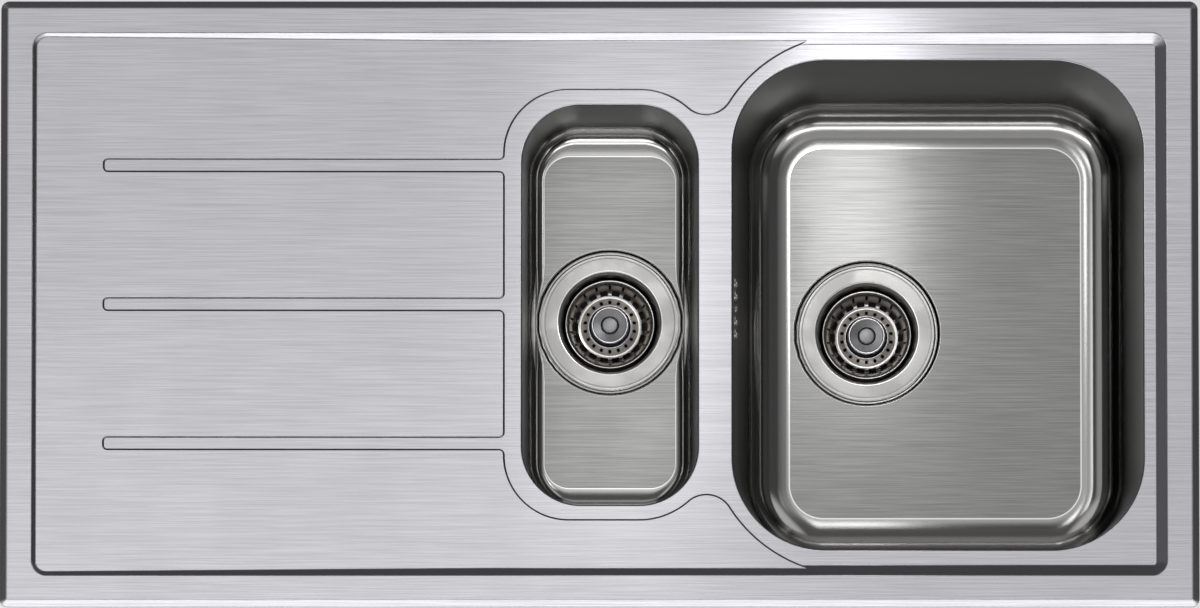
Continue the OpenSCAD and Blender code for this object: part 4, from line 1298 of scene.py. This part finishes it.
def makeWaste(side, bowl):
    # Everything round one waste hole, from the flange down to the tail piece
    place = placed(bowl["drainX"], 0, deck["panelZ"] - bowl["depth"] - recess["depth"])
    w, b = waste, basket
    under = -deck["sheet"]
    hole, gap = recess["holeR"], 0.06

    def add(name, parts, slotName, body="sink", angle=35):
        piece = meshFrom(f"{side}_{name}_look", parts, slotName, angle, place)
        return settle(piece, body, f"{side}_{name}")

    thread = threadPart(w["outletR"], 0.9, w["neckZ"], w["neckZ"] + 14, w["threadPitch"])
    collar = threadPart(w["threadR"], 0.7, -20.5, under - 0.4, 2.0, 96)
    shell = lathePart(strainerProfile(), 0.35, 144, 4)
    piece = add("strainer_body", [shell, thread, collar], "satin_strainer", angle=25)
    # Painted highlight on the flange's edges and painted shade inside the cup
    paint(piece, "paintedHighlight", strainerEdges, place)
    paint(piece, "paintedShade", strainerInside, place)
    add("flange_seal", [washerPart(w["flangeR"] - 2, hole + 1, 0, w["sealT"])], "black_rubber")
    add("bowl_gasket", [washerPart(hole + 11, hole + 0.5, under - 3, 3)], "black_rubber")
    add("friction_washer", [washerPart(hole + 10, w["threadR"] + 0.3, under - 4, 1)], "fibre_washer")
    low = under - 4 - w["nutH"]
    bore, nutR, nutTop = w["threadR"] + gap, w["nutR"], low + w["nutH"]
    parts = [lathePart([(bore, low), (nutR, low), (nutR, nutTop), (bore, nutTop)], 1.0)]
    (lugIn, lugOut), lugHalf = w["lugR"], w["lugHalf"]
    for k in range(w["lugs"]):
        turn = 2 * pi * k / w["lugs"]
        parts.append(boxPart((lugIn, -lugHalf, low + 0.3), (lugOut, lugHalf, low + 8), turn, 0.6))
    piece = meshFrom(f"{side}_lock_nut_look", parts, "white_plastic", place=place)
    settle(bevelled(piece, 0.5), "sink", f"{side}_lock_nut")
    add("tail_washer", [washerPart(w["tailFlangeR"], w["boreR"], w["tailTopZ"], 1.5)], "black_rubber")
    add("tail_piece", tailParts(bowl), "white_plastic")
    outlet = w["outletR"]
    nut = makeNut(outlet + 4, outlet + gap, w["tailR"] + 0.3, 3.5, w["tailTopZ"] - 6.5, 20, 12, (2, 4))
    add("coupling_nut", nut, "white_plastic")
    body = f"{side}_basket"
    settle(makeBasketCup(f"{side}_basket_cup_look", place), body, f"{side}_basket_cup")
    bore, z = b["stemR"] + gap, b["sealZ"]
    ring = [(bore, z), (21, z), (24, z + 0.9), (24, z + 1.8), (22.5, z + 3), (bore, z + 3)]
    add("basket_seal", [lathePart(ring, 0.5)], "black_rubber", body)
    add("basket_stem", [lathePart(stemProfile(), 0.5)], "polished_basket", body)
    piece = add("basket_knob", [lathePart(knobProfile(), 0.3, 96, 4)], "knob_metal", body, 30)
    # Painted highlight on the rim and collar, painted shade under the head and round the button
    paint(piece, "paintedHighlight", knobEdges, place)
    paint(piece, "paintedShade", knobShade, place)
    r, z = b["buttonR"], b["knobTopZ"] - 1.6
    cap = [(0, z), (r, z), (r, z + 0.8), (r - 0.8, z + 1.6), (0, z + 2)]
    add("knob_button", [lathePart(cap, 0.3, 64)], "button_metal", body, 30)


makeWaste("main", mainBowl)
makeWaste("half", halfBowl)
print("wastes and baskets made")


def makeOverflow():
    place = overflowPlace()
    deep, long, high = overflow["housing"]
    t = overflow["gasketT"]
    slab = boxPart((-t, -long / 2, -high / 2), (0, long / 2, high / 2))
    gasket = meshFrom("overflowGasket", [slab], "black_rubber", place=place)
    settle(bevelled(gasket, 0.4), "sink", "overflow_gasket")
    back = -t - deep
    block = boxPart((back, -long / 2, -high / 2), (-t, long / 2, high / 2))
    shell = meshFrom("overflowHousing", [block], "white_plastic", place=place)
    bevelled(shell, 3, 4)
    # Two ribs round the housing, and the spigot below it, which hangs plumb over the hose
    parts = [boxPart((back, y - 0.8, -high / 2 - 0.5), (-t - 1, y + 0.8, high / 2 + 0.5)) for y in (-22, 22)]
    spigot = hose["spigot"]
    corners, sides = lathePart([
        (5.7, -66), (spigot, -66), (spigot, -50), (9, -49), (9, -44), (5.7, -44),
    ], 0.5, 48)
    toHousing = place.inverted()
    moved = [tuple(toHousing @ (Vector((hose["x"] + x, y, z)) * mm) / mm) for x, y, z in corners]
    parts.append((moved, sides))
    extra = meshFrom("overflowSpigot", parts, "white_plastic", place=place)
    bevelled(extra, 0.3)
    work = bmesh.new()
    work.from_mesh(shell.data)
    work.from_mesh(extra.data)
    work.to_mesh(shell.data)
    work.free()
    bpy.data.objects.remove(extra)
    smooth(shell.data, 35)
    settle(shell, "sink", "overflow_housing")
    low, z = -overflow["screwL"], deck["sheet"] + 0.05
    profile = [(0, low), (1.8, low), (1.8, z), (4, z), (3.9, z + 0.5), (3.2, z + 1.4), (0, z + 1.5)]
    turn = place @ Matrix.Rotation(pi / 2, 4, "Y")
    screw = meshFrom("overflowScrew", [lathePart(profile, 0.3, 48)], "steel_screw", place=turn)
    settle(screw, "sink", "overflow_screw")


def hosePoint(s):
    # A point of the hose's middle line and its direction's turn from straight down
    down = hose["topZ"] - hose["inletZ"] - hose["bend"]
    turn = hose["bend"] * pi / 2
    if s <= down:
        return Vector((hose["x"], 0, hose["topZ"] - s)), 0.0
    if s <= down + turn:
        a = (s - down) / hose["bend"]
        middle = Vector((hose["x"] + hose["bend"], 0, hose["inletZ"] + hose["bend"]))
        return middle - hose["bend"] * Vector((cos(a), 0, sin(a))), a
    return Vector((hose["x"] + hose["bend"] + s - down - turn, 0, hose["inletZ"])), pi / 2


def makeHose():
    length = hose["topZ"] - hose["inletZ"] - hose["bend"] + hose["bend"] * pi / 2
    length += hose["endX"] - hose["x"] - hose["bend"]
    cuff = hose["cuff"]
    ribs = int((length - 2 * cuff) / hose["pitch"])
    pitch = (length - 2 * cuff) / ribs
    low = hose["r"] - hose["rib"]
    steps = [(0, low - 0.3), (0.4, low), (cuff, low)]
    for k in range(ribs):
        for share, height in ((0.15, 0.1), (0.3, 0.75), (0.42, 1), (0.62, 1), (0.75, 0.75), (0.9, 0.1)):
            steps.append((cuff + (k + share) * pitch, low + hose["rib"] * height))
    steps += [(length - cuff, low), (length - 0.4, low), (length, low - 0.3)]
    steps += [(length, hose["bore"])]
    steps += [(length * (1 - i / 40), hose["bore"]) for i in range(1, 41)]
    points = []
    sides = 28
    for s, r in steps:
        middle, t = hosePoint(s)
        for i in range(sides):
            a = 2 * pi * i / sides
            points.append(middle + r * (cos(a) * Vector((cos(t), 0, sin(t))) + sin(a) * Vector((0, 1, 0))))
    piece = meshFrom("overflowHose", [(points, loftFaces(sides, len(steps), wrap=True))], "hose_plastic", 60)
    settle(piece, "sink", "overflow_hose")
    nut = makeNut(hose["nutR"], hose["r"] + 0.3, hose["spigot"] + 0.15, 2, 0, hose["nutL"], 8, (0.8, 3))
    upper = placed(hose["x"], 0, hose["topZ"] + 2, Matrix.Rotation(pi, 4, "X"))
    lower = placed(hose["endX"] + 2, 0, hose["inletZ"], Matrix.Rotation(-pi / 2, 4, "Y"))
    settle(meshFrom("hoseNutUpper", nut, "white_plastic", place=upper), "sink", "hose_nut_upper")
    settle(meshFrom("hoseNutLower", nut, "white_plastic", place=lower), "sink", "hose_nut_lower")


makeOverflow()
makeHose()
print("overflow made")


clip = {
    "inset": 19,
    "endGap": 150,
    "sheet": 1.5,
    "width": 24,
    "footZ": -18,
    "under": 2,
    "screwR": 2.5,
    "screwL": 42,
    "clawZ": -59.7,
    "clawL": 28,
    "clawW": 14,
    "clawT": 2.5,
    "clawH": 15.5,
}


def clipPlaces():
    halfX, halfY = deck["length"] / 2, deck["width"] / 2
    reach = halfX - clip["endGap"]
    spots = [(x, halfY, 0) for x in (-reach, 0, reach)] + [(x, -halfY, pi) for x in (-reach, 0, reach)]
    spots += [(halfX, 0, -pi / 2), (-halfX, 0, pi / 2)]
    return [placed(x, y, 0, Matrix.Rotation(turn, 4, "Z")) for x, y, turn in spots]


def bentSheet(path, wide, thick):
    # A strip of sheet bent along a path of (y, z) points, which is its outer face
    points, faces = [], []
    for k, (y, z) in enumerate(path):
        back = Vector(path[max(k - 1, 0)])
        ahead = Vector(path[min(k + 1, len(path) - 1)])
        along = (ahead - back).normalized()
        side = Vector((-along.y, along.x)) * thick
        for x, (dy, dz) in ((-wide / 2, (0, 0)), (wide / 2, (0, 0)), (wide / 2, side), (-wide / 2, side)):
            points.append((x, y + dy, z + dz))
    faces = loftFaces(4, len(path))
    faces += [(3, 2, 1, 0), tuple(4 * (len(path) - 1) + i for i in range(4))]
    return points, faces


def bendPoints(corners, radius, steps=5):
    # An open path with its inner corners rounded
    made = [corners[0]]
    for back, here, ahead in zip(corners, corners[1:], corners[2:]):
        here = Vector(here)
        first = here + (Vector(back) - here).normalized() * radius
        final = here + (Vector(ahead) - here).normalized() * radius
        for k in range(steps + 1):
            t = k / steps
            made.append(tuple(first * (1 - t) ** 2 + here * 2 * t * (1 - t) + final * t ** 2))
    return made + [corners[-1]]


def makeBrackets(places):
    inner = -clip["inset"] - 6
    outer = inner + 12
    foot, top = clip["footZ"], clip["under"]
    path = bendPoints([(outer, foot), (inner, foot), (inner, top), (outer, top)], 3)
    strip = bentSheet(path, clip["width"], -clip["sheet"])
    bore = clip["screwR"] + 0.1
    boss = lathePart([(bore, foot), (5, foot), (4.5, foot + 2.5), (bore, foot + 2.5)], 0.4, 32)
    boss = ([(x, y - clip["inset"], z) for x, y, z in boss[0]], boss[1])
    parts = []
    for place in places:
        for corners, sides in (strip, boss):
            parts.append(([tuple((place @ (Vector(p) * mm)) / mm) for p in corners], sides))
    piece = meshFrom("clipBrackets", parts, "zinc_steel")
    settle(bevelled(piece, 0.25), "sink", "clip_brackets")


def clawArm(reach, z):
    # The claw's flat arm, round at the end that the screw goes through
    half, count = clip["clawW"] / 2, 16
    turns = [pi / 2 + pi * k / count for k in range(count + 1)]
    outline = [(half * cos(a), half * sin(a)) for a in turns] + [(reach, -half), (reach, half)]
    n = len(outline)
    r = clip["screwR"] + 0.06
    bore = [(r * cos(2 * pi * k / n + pi / 2), r * sin(2 * pi * k / n + pi / 2)) for k in range(n)]
    points = [(x, y, h) for row in (outline, bore) for h in (z, z + clip["clawT"]) for x, y in row]
    faces = []
    for i in range(n):
        k = (i + 1) % n
        faces.append((i, k, n + k, n + i))
        faces.append((k, i, 2 * n + i, 2 * n + k))
        faces.append((n + i, n + k, 3 * n + k, 3 * n + i))
        faces.append((2 * n + k, 2 * n + i, 3 * n + i, 3 * n + k))
    return points, faces


def makeClip(number, place):
    low = clip["footZ"] - clip["screwL"]
    at = place @ placed(0, -clip["inset"], 0)
    r = clip["screwR"]
    thread = threadPart(r, 0.35, low + 1, low + clip["screwL"] + 3.4, 1.0, 32, 0.4)
    head = lathePart([
        (0, low - 4), (5, low - 4), (5, low - 0.6), (4.4, low), (r - 0.4, low), (r - 0.4, low + 1.5),
        (0, low + 1.5),
    ], 0.4, 48)
    screw = meshFrom(f"clipScrew{number}", [thread, head], "steel_screw", place=at)
    cutAway(screw, [boxPart((-6, -0.6, low - 5), (6, 0.6, low - 1.8))], at)
    settle(screw, f"clip_screw_{number}", f"clip_screw_{number}")
    t, w, long, z = clip["clawT"], clip["clawW"], clip["clawL"], clip["clawZ"]
    top = z + clip["clawH"]
    path = bendPoints([(long - 5, z), (long, z), (long, top - 2)], 3)
    strip = bentSheet(path, w, t)
    parts = [clawArm(long - 4, z), ([(y, x, h) for x, y, h in strip[0]], strip[1])]
    for k in range(3):
        y = -w / 2 + k * w * 0.4
        parts.append(boxPart((long - t, y, top - 4), (long, y + w * 0.2, top)))
    claw = meshFrom(f"clipClaw{number}", parts, "zinc_steel", place=at)
    settle(bevelled(claw, 0.3), f"clip_claw_{number}", f"clip_claw_{number}")


places = clipPlaces()
makeBrackets(places)
for number, place in enumerate(places, 1):
    makeClip(number, place)
print("clips made")


seal = {"outer": 6, "inner": 11, "height": 2, "innerR": 12.5, "outerR": 1.2}
pad = {"cornerR": 8, "gap": 10, "edge": 0.8}


def makeRimSeal():
    halfX, halfY = deck["length"] / 2, deck["width"] / 2
    rings = []
    outer, inner, high = seal["outer"], seal["inner"], seal["height"]
    for inset, z in ((outer + 0.3, 0), (outer, 0.4), (outer, high),
                     (inner, high), (inner, 0.4), (inner - 0.3, 0)):
        r = seal["outerR"] if inset < (outer + inner) / 2 else seal["innerR"]
        rings.append(atHeight(roundedRing(0, halfX - inset, halfY - inset, r, 12, 0), z))
    points = [tuple(p) for ring in rings for p in ring]
    piece = meshFrom("rimSeal", [(points, loftFaces(len(rings[0]), len(rings), wrap=True))], "foam_seal")
    settle(piece, "sink", "rim_seal")


def padPart(x, y, z):
    # A slab with rounded edges, between the low and the high end in each direction
    edge = pad["edge"]
    halfX, halfY = (x[1] - x[0]) / 2, (y[1] - y[0]) / 2
    middle = np.array(((x[0] + x[1]) / 2, (y[0] + y[1]) / 2))
    rings = []
    for inset, height in ((edge, z[1]), (0, z[1] - 0.5), (0, z[0] + 0.5), (0.2, z[0] + 0.15), (edge, z[0])):
        ring = roundedRing(0, halfX - inset, halfY - inset, pad["cornerR"] - inset, 8, 0) + middle
        rings.append(atHeight(ring, height))
    n, last = len(rings[0]), len(rings)
    faces = loftFaces(n, last) + [tuple(range(n)), tuple(range(last * n - 1, (last - 1) * n - 1, -1))]
    return [tuple(p) for ring in rings for p in ring], faces


def makePads():
    # In the same places as the solids: one under the main bowl, one each side of the half bowl's waste
    for node, name in (("main_bowl_pad", "mainBowlPad"), ("half_bowl_pad", "halfBowlPad")):
        low, high = (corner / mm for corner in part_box(node))
        spans = [(low.y, high.y)]
        if node == "half_bowl_pad":
            inner = recess["r"] + pad["gap"]
            spans = [(low.y, -inner), (inner, high.y)]
        parts = [padPart((low.x, high.x), span, (low.z, high.z)) for span in spans]
        settle(meshFrom(name, parts, "sound_pad"), "sink", node)


makeRimSeal()
makePads()
print("seal and pads made")

# Studio: a pale floor that glows a little and a sky that the metal mirrors, with a round window of
# light overhead that leans to the rear. In front a bright band lies low, the other sides are paler
# low down and dark above. Each row of stops is how far a direction leans that way (sine of its angle
# from upright) and how bright it is there. The camera sees a plain backdrop instead.
studio = {
    "floorZ": -0.362,
    "floorHalf": 14.0,
    "floorColor": (0.86, 0.86, 0.86),
    "floorGlow": 0.4,
    "zenith": 1.0,
    "zenithLean": 8,
    "zenithFrom": 16,
    "zenithTo": 5,
    "side": 0.05,
    "sideSpread": (0.3, 0.65),
    "corner": 0.45,
    "cornerSpread": (0.16, 0.32),
    "front": ((0.08, 0.0), (0.2, 0.5), (0.4, 0.3), (0.6, 0.28), (0.88, 0.15), (0.905, 2.4), (0.97, 2.4),
              (0.985, 0.4)),
    "back": ((0.17, 0.0), (0.2, 0.7), (0.36, 0.7), (0.42, 0.1), (0.7, 0.08), (0.88, 0.08), (0.94, 0.45),
             (1.0, 0.45)),
    "left": ((0.1, 0.0), (0.2, 0.5), (0.4, 0.4), (0.5, 0.2), (0.58, 0.05), (0.64, 0.05), (0.74, 0.26),
             (0.9, 0.3), (0.94, 0.8), (1.0, 0.6)),
    "right": ((0.1, 0.0), (0.3, 0.3), (0.45, 0.22), (0.56, 0.06), (0.9, 0.02), (0.95, 0.34), (1.0, 0.5)),
    "below": 0.55,
    "horizon": 0.05,
    "backdrop": 0.72,
}
# Soft rectangular lamps unseen by the camera: place, what each points at, size, brightness of its face
lamps = {
    "frontStrip": {"place": (0, -0.41, 0.30), "aim": (0, -0.41, 0), "size": (1.5, 0.14), "face": 1.7},
    "overMain": {"place": (0.22, 0.20, 0.55), "aim": (0.22, 0.2, 0), "size": (0.09, 0.17), "face": 4.2},
    "overHalf": {"place": (0.03, 0.08, 0.5), "aim": (0.03, 0.08, 0), "size": (0.15, 0.32), "face": 0.7},
    "overDrainer": {"place": (-0.28, -0.04, 1.5), "aim": (-0.28, -0.2, 0), "size": (0.8, 0.3), "face": 0.5},
}


def stopRamp(tree, value, stops):
    node = addNode(tree, "ShaderNodeValToRGB", {"Fac": value})
    points = node.color_ramp.elements
    points.remove(points[0])
    points[0].position = 1.0
    points[0].color = (*(3 * (stops[-1][1],)), 1)
    for position, bright in stops:
        points.new(position).color = (bright, bright, bright, 1)
    return node.outputs["Color"]


def makeWorld(look):
    world = bpy.data.worlds.new("studio")
    bpy.context.scene.world = world
    world.use_nodes = True
    tree = world.node_tree
    background = tree.nodes["Background"]
    way = addNode(tree, "ShaderNodeTexCoord").outputs["Generated"]
    x, y, z = addNode(tree, "ShaderNodeSeparateXYZ", {0: way}).outputs
    lean = radians(look["zenithLean"])
    toZenith = addNode(tree, "ShaderNodeVectorMath", {0: way, 1: (0, sin(lean), cos(lean))},
                       operation="DOT_PRODUCT").outputs["Value"]
    sky = ramp(tree, toZenith, cos(radians(look["zenithFrom"])), cos(radians(look["zenithTo"])),
               look["side"], look["zenith"])
    offX, offY = calc(tree, "ABSOLUTE", x), calc(tree, "ABSOLUTE", y)
    for side, along, off, sign in (("front", y, offX, -1.0), ("back", y, offX, 1.0),
                                   ("left", x, offY, -1.0), ("right", x, offY, 1.0)):
        bright = stopRamp(tree, calc(tree, "MULTIPLY", along, sign), look[side])
        bright = calc(tree, "MULTIPLY", bright, ramp(tree, off, *look["sideSpread"], 1.0, 0.0))
        sky = calc(tree, "MAXIMUM", sky, bright)
    corner = ramp(tree, calc(tree, "MULTIPLY", offX, offY), *look["cornerSpread"], 0.0, look["corner"])
    sky = calc(tree, "MAXIMUM", sky, corner)
    low = ramp(tree, z, -look["horizon"], look["horizon"], 1.0, 0.0)
    whole = mixValue(tree, low, sky, look["below"])
    seen = addNode(tree, "ShaderNodeLightPath").outputs["Is Camera Ray"]
    tree.links.new(mixValue(tree, seen, whole, look["backdrop"]), background.inputs["Strength"])
    background.inputs["Color"].default_value = (1, 1, 1, 1)


def makeFloor(look):
    mesh = bpy.data.meshes.new("floor")
    half, z = look["floorHalf"], look["floorZ"]
    corners = [(-half, -half, z), (half, -half, z), (half, half, z), (-half, half, z)]
    mesh.from_pydata(corners, [], [(0, 1, 2, 3)])
    floor = bpy.data.objects.new("floor", mesh)
    bpy.context.scene.collection.objects.link(floor)
    material, tree, shader = blankMaterial("paleFloor")
    shader.inputs["Base Color"].default_value = (*look["floorColor"], 1)
    shader.inputs["Roughness"].default_value = 0.9
    # A little light of its own, to the eye and in mirrors, keeps it pale under the studio's dark sides
    path = addNode(tree, "ShaderNodeLightPath").outputs
    seen = calc(tree, "MAXIMUM", path["Is Camera Ray"], path["Is Glossy Ray"])
    seen = calc(tree, "MAXIMUM", seen, path["Is Transmission Ray"])
    shader.inputs["Emission Color"].default_value = (1, 1, 1, 1)
    tree.links.new(calc(tree, "MULTIPLY", seen, look["floorGlow"]), shader.inputs["Emission Strength"])
    # Seen from below it is clear, so that the sink's underside can be looked at
    below = addNode(tree, "ShaderNodeNewGeometry").outputs["Backfacing"]
    clear = addNode(tree, "ShaderNodeBsdfTransparent")
    mixed = addNode(tree, "ShaderNodeMixShader", {0: below, 1: shader.outputs[0], 2: clear.outputs[0]})
    ending = next(node for node in tree.nodes if node.type == "OUTPUT_MATERIAL")
    tree.links.new(mixed.outputs[0], ending.inputs["Surface"])
    mesh.materials.append(material)


def addLamp(name, look):
    data = bpy.data.lights.new(name, "AREA")
    data.shape = "RECTANGLE"
    data.size, data.size_y = look["size"]
    data.energy = look["face"] * pi * look["size"][0] * look["size"][1]
    lamp = bpy.data.objects.new(name, data)
    lamp.location = look["place"]
    lamp.rotation_euler = (Vector(look["aim"]) - Vector(look["place"])).to_track_quat("-Z", "Y").to_euler()
    lamp.visible_camera = False
    bpy.context.scene.collection.objects.link(lamp)


makeWorld(studio)
makeFloor(studio)
for name, look in lamps.items():
    addLamp(name, look)
bpy.context.scene.view_settings.view_transform = "Standard"
print("studio made")
